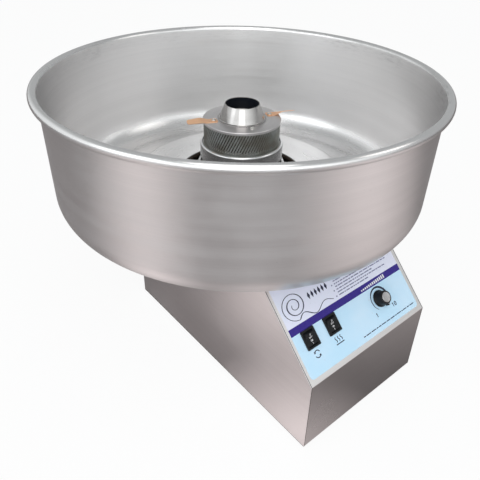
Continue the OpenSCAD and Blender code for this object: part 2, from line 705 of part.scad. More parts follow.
// Domed nut that clamps the head to the shaft
module head_nut() color("gold") difference() {
    union() {
        translate([0, 0, base_z]) cylinder(r = 10.4, h = 8, $fn = 6);
        translate([0, 0, base_z + 8]) intersection() {
            sphere(r = 8.6);
            cylinder(r = 10, h = 10);
        }
    }
    rod(shaft_r + fit_gap, base_z - 1, shaft_end_z + 0.5);
}

// ---------- between cabinet and head ----------

// Fixed conical cover round the slip rings
module motor_shroud() color("gainsboro") difference() {
    shroud_t = 1.2;
    lean = atan2(shroud_top_z - top_z, shroud_r - shroud_top_r);
    spun([[8, -lean, 3],
          [(shroud_top_z - top_z) / sin(lean) - 6, 60, 2.5], [1, 0, 0]],
         [shroud_r + 9.5, top_z + shroud_t / 2], 180, shroud_t);
    round_axis([45:90:315], shroud_screw_r) rod(1.6, top_z - 1, top_z + 3);
}

module bowl_seat() color("silver") difference() {
    bend = 3;
    wall_r = seat_r - seat_t / 2;
    rise = gasket_z[0] - seat_t - top_z;
    spun([[seat_flange_r - wall_r - bend, -90, bend], [rise - 2 * bend, 90, bend],
          [wall_r - bend - seat_in_r, 0, 0]],
         [seat_flange_r, top_z + seat_t / 2], 180, seat_t);
    round_axis([45:90:315], seat_screw_r) rod(1.6, top_z - 1, top_z + 3);
}

module bowl_gasket() color("dimgray") rotate_extrude($fn = 180)
    translate([seat_in_r + 1, gasket_z[0]]) difference() {
        square([10, gasket_z[1] - gasket_z[0]]);
        translate([5, gasket_z[1] - gasket_z[0]]) circle(r = 0.9, $fn = 24);
    }

// Screws of the bowl seat, the shroud and the brush holder
module top_screws() color("silver") {
    brush_screw_places() translate([0, 0, top_z + 4]) pan_screw(2.4, 1.8, 1.5, 10);
    round_axis([45:90:315], seat_screw_r) translate([0, 0, top_z + seat_t]) pan_screw(3.2, 2, 1.5, 9);
    round_axis([45:90:315], shroud_screw_r) translate([0, 0, top_z + 1.2]) pan_screw(3, 1.8, 1.5, 8);
}

// Insulating post with a channel for each brush
module brush_holder() color([0.3, 0.2, 0.14]) difference() {
    union() {
        translate([holder_x[0], -9, top_z]) cube([holder_x[1] - holder_x[0], 18, 57]);
        translate([holder_x[0], -14, top_z]) cube([40, 28, 4]);
    }
    for (z = ring_mids) translate([holder_x[0] - 1, -brush_w / 2 - 0.1, z - brush_w / 2 - 0.1])
        cube([holder_x[1] - holder_x[0] - 3, brush_w + 0.2, brush_w + 0.2]);
    translate([holder_x[0] - 1, -10, top_z + 4]) cube([14, 20, 20]);
    brush_screw_places() rod(1.6, top_z - 1, top_z + 5);
}

module carbon_brushes() color([0.2, 0.2, 0.2]) for (z = ring_mids)
    translate([brush_x[0], -brush_w / 2, z - brush_w / 2]) difference() {
        cube([brush_x[1] - brush_x[0], brush_w, brush_w]);
        translate([-ring_r - brush_gap, brush_w / 2, -1]) cylinder(r = ring_r + brush_gap, h = brush_w + 2);
    }

// Tube of radius r swept along points
function unit(v) = v / norm(v);
function heading_at(p, i) = unit(p[min(i + 1, len(p) - 1)] - p[max(i - 1, 0)]);
function tube_ring(p, i, r, sides) =
    let (t = heading_at(p, i), a = unit(cross(t, [0.31, 0.23, 0.92])), b = cross(t, a))
    [for (k = [0:sides - 1]) p[i] + r * (cos(k * 360 / sides) * a + sin(k * 360 / sides) * b)];

module tube(p, r, sides = 8) {
    n = len(p);
    polyhedron(
        points = [for (i = [0:n - 1]) each tube_ring(p, i, r, sides)],
        faces = concat(
            [[for (k = [0:sides - 1]) k], [for (k = [sides - 1:-1:0]) (n - 1) * sides + k]],
            [for (i = [0:n - 2], k = [0:sides - 1]) let (m = (k + 1) % sides, j = i * sides)
                each [[j + k, j + sides + k, j + sides + m], [j + k, j + sides + m, j + m]]]),
        convexity = 10);
}

module brush_springs() color("silver") for (z = ring_mids) {
    run = holder_x[1] - 4 - brush_x[1] - 0.8;
    tube([for (i = [0:spring_turns * 10]) let (a = i * 36)
          [brush_x[1] + 0.4 + run * i / (spring_turns * 10), 2.6 * cos(a), z + 2.6 * sin(a)]], 0.35, 6);
}

// ---------- supply ----------

module terminal_block() color("whitesmoke") translate([block_at[0], block_at[1], tray_top])
    difference() {
        union() {
            translate([-22, -9, 0]) cube([44, 18, 10]);
            translate([-22, -5, 10]) cube([44, 10, 8]);
        }
        for (x = [-16, -5.5, 5.5, 16]) {
            translate([x, 0, 9]) cylinder(r = 2.4, h = 12);
            translate([x, 0, 5]) rotate([90, 0, 0]) cylinder(r = 1.6, h = 30, center = true);
        }
        for (x = [-12, 12]) translate([x, -6.8, -1]) cylinder(r = 1.2, h = 6);
    }

// Wires laid from the terminal block to the switches, the heat control, the motor and the brushes
module wiring_harness() color("firebrick") {
    left = block_at[0];
    tube([[left - 16, 84, 16], [left - 16, 60, 15], [left - 20, 0, 16], [left - 24, -120, 18],
          [left - 26, -210, 60], [-cab_w / 2 + motor_switch_u - 6, -236, 120],
          [-cab_w / 2 + motor_switch_u - 6, -256, 152]], wire_r);
    tube([[left - 5.5, 84, 16], [left - 5.5, 56, 15], [left - 6, 0, 16], [left - 4, -120, 18],
          [left + 8, -210, 60], [-cab_w / 2 + heat_switch_u - 6, -236, 120],
          [-cab_w / 2 + heat_switch_u - 6, -256, 152]], wire_r);
    tube([[left + 5.5, 84, 16], [left + 8, 60, 15], [left + 24, -10, 15], [left + 60, -120, 16],
          [20, -200, 50], [40, -226, 92], [48, -236, 116]], wire_r);
    tube([[left + 16, 84, 16], [left + 22, 70, 20], [left + 14, 62, 60], [left + 6, 60, 110],
          [left + 6, 50, 140]], wire_r);
}

// Hollow gland through the rear panel for the supply lead
module cord_gland() color([0.1, 0.1, 0.1])
    translate([gland_at[0], rear_y, gland_at[1]]) rotate([-90, 0, 0]) rotate_extrude() difference() {
        union() {
            translate([0, -15]) square([8, 15]);
            square([12, 4]);
            translate([0, 4]) polygon([[0, 0], [10, 0], [7.6, 10], [0, 10]]);
        }
        translate([0, -16]) square([gland_bore, 40]);
    }

module gland_nut() color([0.12, 0.12, 0.12])
    translate([gland_at[0], rear_y - sheet - 5, gland_at[1]]) rotate([-90, 0, 0])
        hex_ring(12, 5, 8 + fit_gap);

// ---------- bowl ----------

// Spun bowl: a locating collar, a raised middle, a step down to a trough, the wall and its bead
module bowl() color("lightgray") {
    collar = 11.5;
    collar_bend = 4;
    step_bend = 14;
    middle_z = gasket_z[1] + 0.3 + bowl_t / 2;
    floor_z = bowl_z + bowl_t / 2;
    curl_r = bead_r - bowl_t / 2;
    drop = middle_z - floor_z - 2 * step_bend * (1 - cos(step_slope));
    step_run = 2 * step_bend * sin(step_slope) + drop / tan(step_slope);
    middle_r = 178;
    turn = 90 - wall_lean;
    wall_rise = rim_z - bead_r - floor_z - bowl_bend * (1 - cos(turn)) - curl_r * sin(wall_lean);
    curl_mid_r = rim_r - bead_r;
    trough = curl_mid_r - curl_r * cos(wall_lean) - wall_rise * tan(wall_lean)
        - bowl_bend * sin(turn) - middle_r - step_run;
    spun([
        [collar - collar_bend, -90, collar_bend],
        [middle_r - bowl_hole_r - bowl_t / 2 - collar_bend, -step_slope, step_bend],
        [drop / sin(step_slope), step_slope, step_bend],
        [trough, turn, bowl_bend],
        [wall_rise / cos(wall_lean), -300, curl_r]
    ], [bowl_hole_r + bowl_t / 2, middle_z - collar], 90, bowl_t);
}

left_side_panel();
right_side_panel();
front_panel();
top_panel();
rear_panel();
bottom_tray();
rubber_feet();
foot_screws();
panel_screws();
control_label();
motor_switch_housing();
heat_switch_housing();
switch_terminals();
heat_control_body();
heat_control_nut();
motor_plate();
motor_isolators();
motor_plate_screws();
motor_case();
motor_upper_bell();
motor_lower_bell();
motor_tie_rods();
stator_core();
field_coils();
upper_bearing();
lower_bearing();
motor_shroud();
brush_holder();
carbon_brushes();
brush_springs();
terminal_block();
wiring_harness();
cord_gland();
gland_nut();
bowl_seat();
bowl_gasket();
top_screws();
motor_shaft();
motor_rotor();
cooling_fan();
slip_ring_hub();
slip_rings();
head_cup();
head_base();
element_insulators();
heating_ribbon();
slotted_band();
head_lid();
sugar_funnel();
lift_vanes();
head_screws();
head_nut();
bowl();
motor_rocker();
heat_rocker();
heat_knob();
knob_cap();
heat_control_shaft();
knob_set_screw();
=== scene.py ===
"""Looks of a tabletop cotton candy machine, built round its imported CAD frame.

A spun aluminium bowl stands round a spinning sugar head, on a folded steel cabinet with a
sloping control panel. Blender works in metres. Sizes in this file are in millimetres, and MM
turns them into metres when a piece's mesh is made.
"""

import logging
import random
from collections.abc import Callable, Sequence
from dataclasses import dataclass
from enum import Enum
from math import atan2, ceil, copysign, cos, degrees, hypot, pi, radians, sin, sqrt, tan

import bmesh
import bpy
from mathutils import Matrix, Vector


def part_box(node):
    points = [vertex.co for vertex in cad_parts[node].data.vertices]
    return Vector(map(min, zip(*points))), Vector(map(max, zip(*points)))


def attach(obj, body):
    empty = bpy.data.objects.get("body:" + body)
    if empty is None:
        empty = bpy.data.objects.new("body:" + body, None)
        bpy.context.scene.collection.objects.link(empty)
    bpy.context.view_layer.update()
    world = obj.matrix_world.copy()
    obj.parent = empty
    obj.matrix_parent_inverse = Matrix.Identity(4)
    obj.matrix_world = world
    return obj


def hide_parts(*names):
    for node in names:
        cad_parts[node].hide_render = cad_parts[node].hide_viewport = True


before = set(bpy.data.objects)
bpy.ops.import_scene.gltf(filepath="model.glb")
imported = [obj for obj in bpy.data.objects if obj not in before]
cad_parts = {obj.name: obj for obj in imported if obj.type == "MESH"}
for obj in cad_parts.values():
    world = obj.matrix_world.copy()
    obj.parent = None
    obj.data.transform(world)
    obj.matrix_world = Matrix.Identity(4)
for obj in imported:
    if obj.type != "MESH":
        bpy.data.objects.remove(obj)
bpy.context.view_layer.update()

LOG = logging.getLogger("cotton_candy_machine")
MM = 0.001
ON_AXIS = 1e-6

Point = tuple[float, float]
Triple = tuple[float, float, float]
Colour = Triple
Piece = bpy.types.Object
Socket = bpy.types.NodeSocket
Sockets = bpy.types.NodeOutputs


# ---------- frame ----------


class Body(Enum):
    """The bodies that pieces ride on."""

    CABINET = "cabinet"
    SPINNER = "spinner"
    BOWL = "bowl"
    MOTOR_ROCKER = "motor_rocker"
    HEAT_ROCKER = "heat_rocker"
    HEAT_KNOB = "heat_knob"


def cad_low(node: str) -> Vector:
    """Lowest corner of a CAD node's box, in millimetres."""
    return Vector(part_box(node)[0]) / MM


def cad_high(node: str) -> Vector:
    """Highest corner of a CAD node's box, in millimetres."""
    return Vector(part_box(node)[1]) / MM


def fit(piece: Piece, body: Body, slot: str, *nodes: str) -> None:
    """Puts a finished piece on its body.

    Args:
        piece: The piece's object, with its place in its mesh.
        body: The body that carries it.
        slot: The record's material slot that it stands for; not used.
        nodes: CAD nodes that it stands for.
    """
    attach(piece, body.value)
    if nodes:
        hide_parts(*nodes)
    LOG.info("%s rides on %s", piece.name, body.value)


def shifted(x: float, y: float, z: float) -> Matrix:
    """A move, in millimetres."""
    return Matrix.Translation((x, y, z))


def rotated(angle: float, axis: str = "Z") -> Matrix:
    """A turn round an axis through the origin, in degrees."""
    return Matrix.Rotation(radians(angle), 4, axis)


# ---------- outlines ----------


@dataclass(frozen=True)
class Bend:
    """A straight run of sheet, and the bend that follows it.

    Attributes:
        run: Length of the straight run.
        turn: Turn of the bend in degrees, anticlockwise.
        radius: Radius of the bend at the sheet's mid line.
    """

    run: float
    turn: float = 0.0
    radius: float = 0.0


def bent_sheet(
    bends: Sequence[Bend], start: Point, heading: float, thickness: float, arc_step: float = 4.0
) -> list[Point]:
    """Outline of a bent sheet's section.

    Args:
        bends: Runs and bends, in order.
        start: First point of the sheet's mid line.
        heading: Direction of the first run, in degrees.
        thickness: Thickness of the sheet.
        arc_step: Largest turn between two points of a bend, in degrees.

    Returns:
        The points of a closed outline.
    """
    x, y = start
    angle = radians(heading)
    stations = [(x, y, angle)]
    for bend in bends:
        if bend.run > 0:
            x += bend.run * cos(angle)
            y += bend.run * sin(angle)
            stations.append((x, y, angle))
        turn = radians(bend.turn)
        reach = copysign(bend.radius, turn)
        centre = (x - reach * sin(angle), y + reach * cos(angle))
        steps = ceil(abs(bend.turn) / arc_step)
        for step in range(1, steps + 1):
            a = angle + turn * step / steps
            stations.append((centre[0] + reach * sin(a), centre[1] - reach * cos(a), a))
        x, y, angle = stations[-1]
    half = thickness / 2
    left = [(x - half * sin(a), y + half * cos(a)) for x, y, a in stations]
    right = [(x + half * sin(a), y - half * cos(a)) for x, y, a in stations]
    return left + right[::-1]


def eased(outline: Sequence[Point], radius: float, steps: int = 3) -> list[Point]:
    """Rounds the sharp corners of a closed outline.

    Args:
        outline: Points of the outline.
        radius: Distance from a corner at which its rounding starts.
        steps: Number of pieces in each rounding.

    Returns:
        The points of the rounded outline.
    """
    least_turn, most = 40.0, 0.45
    rounded: list[Point] = []
    count = len(outline)
    for i in range(count):
        here = Vector(outline[i])
        back = Vector(outline[i - 1]) - here
        ahead = Vector(outline[(i + 1) % count]) - here
        turn = 180 - degrees(back.angle(ahead))
        if turn < least_turn or here.x < ON_AXIS:
            rounded.append(tuple(here))
            continue
        reach = min(radius, back.length * most, ahead.length * most)
        first, last = here + back.normalized() * reach, here + ahead.normalized() * reach
        for step in range(steps + 1):
            k = step / steps
            rounded.append(tuple(first.lerp(here, k).lerp(here.lerp(last, k), k)))
    return rounded


def arc(centre: Point, radius: float, start: float, end: float, steps: int) -> list[Point]:
    """Points along an arc, from one angle to another in degrees."""
    angles = [radians(start + (end - start) * k / steps) for k in range(steps + 1)]
    return [(centre[0] + radius * cos(a), centre[1] + radius * sin(a)) for a in angles]


def smooth_step(low: float, high: float, value: float) -> float:
    """Rises smoothly from 0 to 1 while a value goes from low to high."""
    k = min(1.0, max(0.0, (value - low) / (high - low)))
    return k * k * (3 - 2 * k)


# ---------- shapes ----------


class Shape:
    """Points in millimetres and faces, gathered before they become one piece."""

    def __init__(self) -> None:
        """Starts with nothing in it."""
        self.points: list[Vector] = []
        self.faces: list[tuple[int, ...]] = []

    def add(
        self, points: Sequence[Sequence[float]], faces: Sequence[Sequence[int]], place: Matrix | None = None
    ) -> "Shape":
        """Adds one closed shell.

        Args:
            points: Its points.
            faces: Its faces, with their normals outwards.
            place: Where the shell goes, or None to leave it.

        Returns:
            This shape, so that calls can be chained.
        """
        first = len(self.points)
        move = place if place is not None else Matrix()
        self.points += [move @ Vector(point) for point in points]
        self.faces += [tuple(first + i for i in face) for face in faces]
        return self

    def join(self, other: "Shape", place: Matrix | None = None) -> "Shape":
        """Adds a copy of another shape, at a place."""
        return self.add(other.points, other.faces, place)

    def lathe(self, outline: Sequence[Point], facets: int, place: Matrix | None = None) -> "Shape":
        """Turns a closed outline round the Z axis.

        Args:
            outline: Points as radius and height. Points on the axis become one pole.
            facets: Number of faces round the axis.
            place: Where the turned shell goes.

        Returns:
            This shape.
        """
        return self.polar(outline, facets, lambda radius, _height, _angle: radius, place)

    def polar(
        self,
        outline: Sequence[Point],
        facets: int,
        radius_at: Callable[[float, float, float], float],
        place: Matrix | None = None,
        height_at: Callable[[float, float, float], float] | None = None,
    ) -> "Shape":
        """Turns an outline round the Z axis, with a rule that changes it from side to side.

        Args:
            outline: Points as radius and height.
            facets: Number of faces round the axis.
            radius_at: Gives a point's radius from its radius, height and angle in radians.
            place: Where the shell goes.
            height_at: Gives a point's height from the same three values.

        Returns:
            This shape.
        """
        pairs = list(zip(outline, list(outline[1:]) + [outline[0]]))
        if sum(a[0] * b[1] - b[0] * a[1] for a, b in pairs) < 0:
            outline = outline[::-1]
        points: list[Triple] = []
        index: list[list[int]] = []
        for radius, height in outline:
            pole, first = radius < ON_AXIS, len(points)
            for k in range(1 if pole else facets):
                a = 2 * pi * k / facets
                r = 0.0 if pole else radius_at(radius, height, a)
                points.append((r * cos(a), r * sin(a), height_at(radius, height, a) if height_at else height))
            index.append([first] * facets if pole else list(range(first, len(points))))
        faces: list[tuple[int, ...]] = []
        for j in range(len(outline)):
            here, above = index[j], index[(j + 1) % len(outline)]
            for k in range(facets):
                m = (k + 1) % facets
                corners = dict.fromkeys((here[k], here[m], above[m], above[k]))
                if len(corners) > 2:
                    faces.append(tuple(corners))
        return self.add(points, faces, place)

    def loft(
        self, rings: Sequence[Sequence[Triple]], place: Matrix | None = None, closed: bool = False
    ) -> "Shape":
        """Adds a shell through rings that have the same number of points.

        Args:
            rings: The rings, anticlockwise as seen from the last one.
            place: Where the shell goes.
            closed: Whether the last ring joins the first one. If not, both get a cap.

        Returns:
            This shape.
        """
        count, last = len(rings[0]), (len(rings) - 1) * len(rings[0])
        ends = [tuple(range(count - 1, -1, -1)), tuple(range(last, last + count))]
        faces: list[tuple[int, ...]] = [] if closed else ends
        for i in range(len(rings) if closed else len(rings) - 1):
            a, b = i * count, (i + 1) % len(rings) * count
            faces += [(a + k, a + (k + 1) % count, b + (k + 1) % count, b + k) for k in range(count)]
        return self.add([point for ring in rings for point in ring], faces, place)

    def slab(
        self, outline: Sequence[Point], low: float, high: float,
        place: Matrix | None = None, ease: float = 0.0
    ) -> "Shape":
        """Adds a plate with a flat outline, between two heights.

        Args:
            outline: Points of the outline, anticlockwise.
            low: Height of its lower face.
            high: Height of its upper face.
            place: Where the plate goes.
            ease: Size of a bevel round its upper face.

        Returns:
            This shape.
        """
        rings = [[(x, y, low) for x, y in outline], [(x, y, high - ease) for x, y in outline]]
        if ease > 0:
            rings.append([(x, y, high) for x, y in inset(outline, ease)])
        return self.loft(rings, place)

    def stroke(
        self, path: Sequence[Point], width: float | Sequence[float], low: float, high: float,
        place: Matrix | None = None, closed: bool = False
    ) -> "Shape":
        """Adds a flat line along a path.

        Args:
            path: Points of its middle.
            width: Its width, or one width for each point.
            low: Height of its lower face.
            high: Height of its upper face.
            place: Where it goes.
            closed: Whether it ends where it starts.

        Returns:
            This shape.
        """
        count = len(path)
        widths = [width] * count if isinstance(width, (int, float)) else list(width)
        rings: list[list[Triple]] = []
        for i, (x, y) in enumerate(path):
            here = Vector((x, y))
            before = Vector(path[i - 1]) if i or closed else here
            after = Vector(path[(i + 1) % count]) if i < count - 1 or closed else here
            along = ((here - before).normalized() + (after - here).normalized()).normalized()
            side = Vector((-along.y, along.x)) * (widths[i] / 2)
            left, right = here + side, here - side
            rings.append([(*right, low), (*left, low), (*left, high), (*right, high)])
        return self.loft(rings, place, closed)

    def mesh(self, name: str, smooth_angle: float = 35.0) -> Piece:
        """Makes the shape one object.

        Args:
            name: Name of the object.
            smooth_angle: Edges that turn by more than this, in degrees, stay sharp.

        Returns:
            The object, at the origin.
        """
        data = bpy.data.meshes.new(name)
        data.from_pydata([point * MM for point in self.points], [], self.faces)
        data.validate()
        smooth_by_angle(data, smooth_angle)
        return linked(name, data)

    def piece(self, name: str, finish: "Finish", smooth_angle: float = 35.0) -> Piece:
        """Makes the shape one object with a finish."""
        made = self.mesh(name, smooth_angle)
        made.data.materials.append(finish.material())
        return made


def inset(outline: Sequence[Point], distance: float) -> list[Point]:
    """Moves each point of an outline inwards.

    Args:
        outline: Points of the outline, anticlockwise.
        distance: How far they move.

    Returns:
        The points of the smaller outline.
    """
    moved: list[Point] = []
    count = len(outline)
    for i in range(count):
        here = Vector(outline[i])
        before = (here - Vector(outline[i - 1])).normalized()
        after = (Vector(outline[(i + 1) % count]) - here).normalized()
        normal = Vector((-(before.y + after.y), before.x + after.x)).normalized()
        lean = max(0.4, normal.dot(Vector((-before.y, before.x))))
        moved.append(tuple(here + normal * (distance / lean)))
    return moved


def linked(name: str, data: bpy.types.ID) -> Piece:
    """Makes an object of some data and puts it in the scene."""
    made = bpy.data.objects.new(name, data)
    bpy.context.scene.collection.objects.link(made)
    return made


def smooth_by_angle(data: bpy.types.Mesh, angle: float) -> None:
    """Shades a mesh smooth, but for its sharper edges.

    Args:
        data: The mesh.
        angle: Edges that turn by more than this, in degrees, stay sharp.
    """
    work = bmesh.new()
    work.from_mesh(data)
    limit = radians(angle)
    for edge in work.edges:
        edge.smooth = len(edge.link_faces) == 2 and edge.calc_face_angle(0) < limit
    for face in work.faces:
        face.smooth = True
    work.to_mesh(data)
    work.free()


def recalculate_outside(piece: Piece) -> Piece:
    """Turns the faces of a piece's closed shells outwards.

    Args:
        piece: The piece.

    Returns:
        The same piece.
    """
    work = bmesh.new()
    work.from_mesh(piece.data)
    bmesh.ops.recalc_face_normals(work, faces=work.faces)
    work.to_mesh(piece.data)
    work.free()
    return piece


def baked(piece: Piece) -> Piece:
    """Applies a piece's modifiers.

    Args:
        piece: The piece.

    Returns:
        The same piece, with its plain mesh.
    """
    bpy.context.view_layer.update()
    graph = bpy.context.evaluated_depsgraph_get()
    data = bpy.data.meshes.new_from_object(piece.evaluated_get(graph), depsgraph=graph)
    piece.modifiers.clear()
    old, piece.data = piece.data, data
    name = old.name
    bpy.data.meshes.remove(old)
    data.name = name
    return piece


def bevelled_copy(node: str, name: str, finish: "Finish", width: float) -> Piece:
    """Copies a CAD node's mesh, joins its triangles and rounds its edges.

    Args:
        node: The CAD node.
        name: Name of the copy.
        finish: The copy's finish.
        width: Width of the rounding.

    Returns:
        The copy, which stands for the node once it is fitted.
    """
    weld, flat, sharp = 0.002, 0.5, 30
    work = bmesh.new()
    work.from_mesh(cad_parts[node].data)
    bmesh.ops.remove_doubles(work, verts=work.verts, dist=weld * MM)
    bmesh.ops.dissolve_limit(
        work, angle_limit=radians(flat), verts=work.verts, edges=work.edges, use_dissolve_boundaries=False
    )
    data = bpy.data.meshes.new(name)
    work.to_mesh(data)
    work.free()
    if "custom_normal" in data.attributes:
        data.attributes.remove(data.attributes["custom_normal"])
    smooth_by_angle(data, 180)
    copy = linked(name, data)
    data.materials.append(finish.material())
    bevel = copy.modifiers.new("rounded edges", "BEVEL")
    bevel.width = width * MM
    bevel.segments = 2
    bevel.limit_method = "ANGLE"
    bevel.angle_limit = radians(sharp)
    bevel.use_clamp_overlap = True
    copy.modifiers.new("flat faces stay flat", "WEIGHTED_NORMAL").keep_sharp = True
    return baked(copy)


# ---------- node trees ----------


class Wiring:
    """Adds nodes to a tree and joins their sockets."""

    def __init__(self, tree: bpy.types.NodeTree) -> None:
        """Works on a node tree."""
        self.tree = tree

    def node(
        self, kind: str, inputs: dict[str | int, object] | None = None, **settings: object
    ) -> bpy.types.Node:
        """Adds a node.

        Args:
            kind: The node's type.
            inputs: Its inputs by name or number. A socket is linked and a value is set.
            settings: The node's own properties.

        Returns:
            The node.
        """
        made = self.tree.nodes.new(kind)
        for name, value in settings.items():
            setattr(made, name, value)
        for key, value in (inputs or {}).items():
            self.feed(made.inputs[key], value)
        return made

    def feed(self, socket: Socket, value: object) -> None:
        """Links a socket to another one, or sets its value.

        Args:
            socket: The input.
            value: What it gets: an output, a number, a vector or a colour.
        """
        if isinstance(value, bpy.types.NodeSocket):
            self.tree.links.new(value, socket)
        elif isinstance(value, tuple) and socket.type == "RGBA":
            socket.default_value = (*value, 1.0)[:4]
        else:
            socket.default_value = value

    def sum(self, operation: str, first: object, second: object) -> Socket:
        """Works out one number from two."""
        return self.node("ShaderNodeMath", {0: first, 1: second}, operation=operation).outputs[0]

    def product(self, first: object, *others: object) -> Socket:
        """Multiplies numbers, in their order."""
        for other in others:
            first = self.sum("MULTIPLY", first, other)
        return first

    def vector(self, operation: str, first: object, second: object = (0.0, 0.0, 0.0)) -> Socket:
        """Works out a vector, or the number that a length, a distance or a dot product gives."""
        made = self.node("ShaderNodeVectorMath", {0: first, 1: second}, operation=operation)
        return made.outputs["Value" if operation in ("LENGTH", "DISTANCE", "DOT_PRODUCT") else "Vector"]

    def parts(self, vector: object) -> Sockets:
        """A vector's X, Y and Z."""
        return self.node("ShaderNodeSeparateXYZ", {0: vector}).outputs

    def ranged(
        self, value: object, low: float, high: float, to_low: float = 0.0, to_high: float = 1.0
    ) -> Socket:
        """Maps a value from one range to another and clamps it there."""
        inputs = {"Value": value, "From Min": low, "From Max": high, "To Min": to_low, "To Max": to_high}
        return self.node("ShaderNodeMapRange", inputs).outputs["Result"]

    def blend(self, factor: object, first: object, second: object) -> Socket:
        """Mixes two colours."""
        mix = self.node("ShaderNodeMix", data_type="RGBA")
        for key, value in (("Factor_Float", factor), ("A_Color", first), ("B_Color", second)):
            self.feed(next(s for s in mix.inputs if s.identifier == key), value)
        return next(s for s in mix.outputs if s.identifier == "Result_Color")

    def laid(self, under: object, over: Colour, mask: object, share: float) -> Socket:
        """Lays a colour over another where a mask is, up to a share."""
        return self.blend(self.product(mask, share), under, over)

    def marked(
        self, under: object, over: Colour, value: object, low: float, high: float, share: float
    ) -> Socket:
        """Lays a colour over another, up to a share, while a value goes from low to high."""
        return self.blend(self.ranged(value, low, high, 0.0, share), under, over)

    def noise(self, vector: object, scale: object, detail: float = 2.0, roughness: float = 0.5) -> Socket:
        """Noise along a vector, as a number from 0 to 1."""
        inputs = {"Vector": vector, "Scale": scale, "Detail": detail, "Roughness": roughness}
        return self.node("ShaderNodeTexNoise", inputs).outputs[0]

    def place(self) -> Socket:
        """The Object coordinates."""
        return self.node("ShaderNodeTexCoord").outputs["Object"]

    def facing(self) -> Socket:
        """The surface's normal."""
        return self.node("ShaderNodeNewGeometry").outputs["Normal"]

    def upward(self) -> Socket:
        """How far a face looks upwards, from -1 to 1."""
        return self.parts(self.facing())["Z"]


class NodeGroup:
    """A node group that is built at its first use.

    Attributes:
        name: Its name.
        kind: Type of its node tree.
        inputs: Its inputs by name: a starting value, or the type of a socket that has none.
        outputs: Its outputs by name, with their types.
    """

    name: str = ""
    kind: str = ""
    inputs: dict[str, float | Triple | str] = {}
    outputs: dict[str, str] = {}

    def tree(self) -> bpy.types.NodeTree:
        """The group's node tree."""
        if self.name in bpy.data.node_groups:
            return bpy.data.node_groups[self.name]
        tree = bpy.data.node_groups.new(self.name, self.kind)
        for name, value in self.inputs.items():
            kind = value if isinstance(value, str) else "Vector" if isinstance(value, tuple) else "Float"
            socket = tree.interface.new_socket(name, in_out="INPUT", socket_type=f"NodeSocket{kind}")
            if value != kind:
                socket.default_value = value
        for name, kind in self.outputs.items():
            tree.interface.new_socket(name, in_out="OUTPUT", socket_type=f"NodeSocket{kind}")
        wiring = Wiring(tree)
        wiring.node("NodeGroupOutput", self.wire(wiring, wiring.node("NodeGroupInput").outputs))
        return tree

    def wire(self, wiring: Wiring, given: Sockets) -> dict[str, Socket]:
        """Builds what the group does.

        Args:
            wiring: Adds nodes to the group's tree.
            given: The group's inputs.

        Returns:
            The socket that feeds each output.
        """
        raise NotImplementedError


class ShaderGroup(NodeGroup):
    """A shader effect that several finishes share."""

    kind = "ShaderNodeTree"

    def use(self, wiring: Wiring, **values: object) -> Sockets:
        """Places the group in a material, with its own values."""
        made = wiring.node("ShaderNodeGroup", node_tree=self.tree())
        for name, value in values.items():
            wiring.feed(made.inputs[name.replace("_", " ").capitalize()], value)
        return made.outputs


class TurnedMarks(ShaderGroup):
    """Fine rings that spinning or turning leaves round the Z axis."""

    name = "turned marks"
    inputs = {"Spacing": 1500.0, "Bands": 60.0, "Waver": 0.0006, "Place": (0.0, 0.0, 0.0)}
    outputs = {"Lines": "Float", "Broad": "Float"}

    def wire(self, wiring: Wiring, given: Sockets) -> dict[str, Socket]:
        """Noise along the radius and the height, which hardly changes round the axis."""
        parts = wiring.parts(given["Place"])
        flat = wiring.node("ShaderNodeCombineXYZ", {"X": parts["X"], "Y": parts["Y"]}).outputs[0]
        drift = wiring.product(wiring.noise(given["Place"], 9.0, 1.0), given["Waver"])
        radius = wiring.sum("ADD", wiring.vector("LENGTH", flat), drift)
        height = wiring.sum("ADD", parts["Z"], drift)
        across = wiring.node("ShaderNodeCombineXYZ", {"X": radius, "Y": height}).outputs[0]
        lines = wiring.noise(across, given["Spacing"], 3.0, 0.7)
        return {"Lines": lines, "Broad": wiring.noise(across, given["Bands"], 2.0, 0.6)}


class BrushedGrain(ShaderGroup):
    """Straight grain that a belt leaves on sheet steel."""

    name = "brushed grain"
    inputs = {"Stretch": (6.0, 900.0, 900.0)}
    outputs = {"Lines": "Float", "Streaks": "Float"}

    def wire(self, wiring: Wiring, given: Sockets) -> dict[str, Socket]:
        """Noise that is drawn out along the direction with the smallest stretch."""
        drawn = wiring.vector("MULTIPLY", wiring.place(), given["Stretch"])
        return {"Lines": wiring.noise(drawn, 1.0, 3.0, 0.7), "Streaks": wiring.noise(drawn, 0.12, 2.0, 0.6)}


class Handling(ShaderGroup):
    """Soft smudges and fine specks from use."""

    name = "handling"
    inputs = {"Smudge size": 7.0, "Speck size": 260.0}
    outputs = {"Smudges": "Float", "Specks": "Float"}

    def wire(self, wiring: Wiring, given: Sockets) -> dict[str, Socket]:
        """Large soft noise, and sparse small spots."""
        smudges = wiring.noise(wiring.place(), given["Smudge size"], 4.0, 0.6)
        specks = wiring.noise(wiring.place(), given["Speck size"], 1.0)
        return {"Smudges": wiring.ranged(smudges, 0.3, 0.7), "Specks": wiring.ranged(specks, 0.72, 0.8)}


class EdgeWear(ShaderGroup):
    """Edges that rubbing has made brighter."""

    name = "edge wear"
    inputs = {"Reach": 0.0008, "Patchiness": 90.0}
    outputs = {"Worn": "Float"}

    def wire(self, wiring: Wiring, given: Sockets) -> dict[str, Socket]:
        """Compares a rounded normal with the plain one, in patches."""
        rounded = wiring.node("ShaderNodeBevel", {"Radius": given["Reach"]}, samples=4).outputs["Normal"]
        edge = wiring.ranged(wiring.vector("DOT_PRODUCT", rounded, wiring.facing()), 0.99, 0.9)
        patches = wiring.ranged(wiring.noise(wiring.place(), given["Patchiness"], 3.0), 0.4, 0.65)
        return {"Worn": wiring.product(edge, patches)}


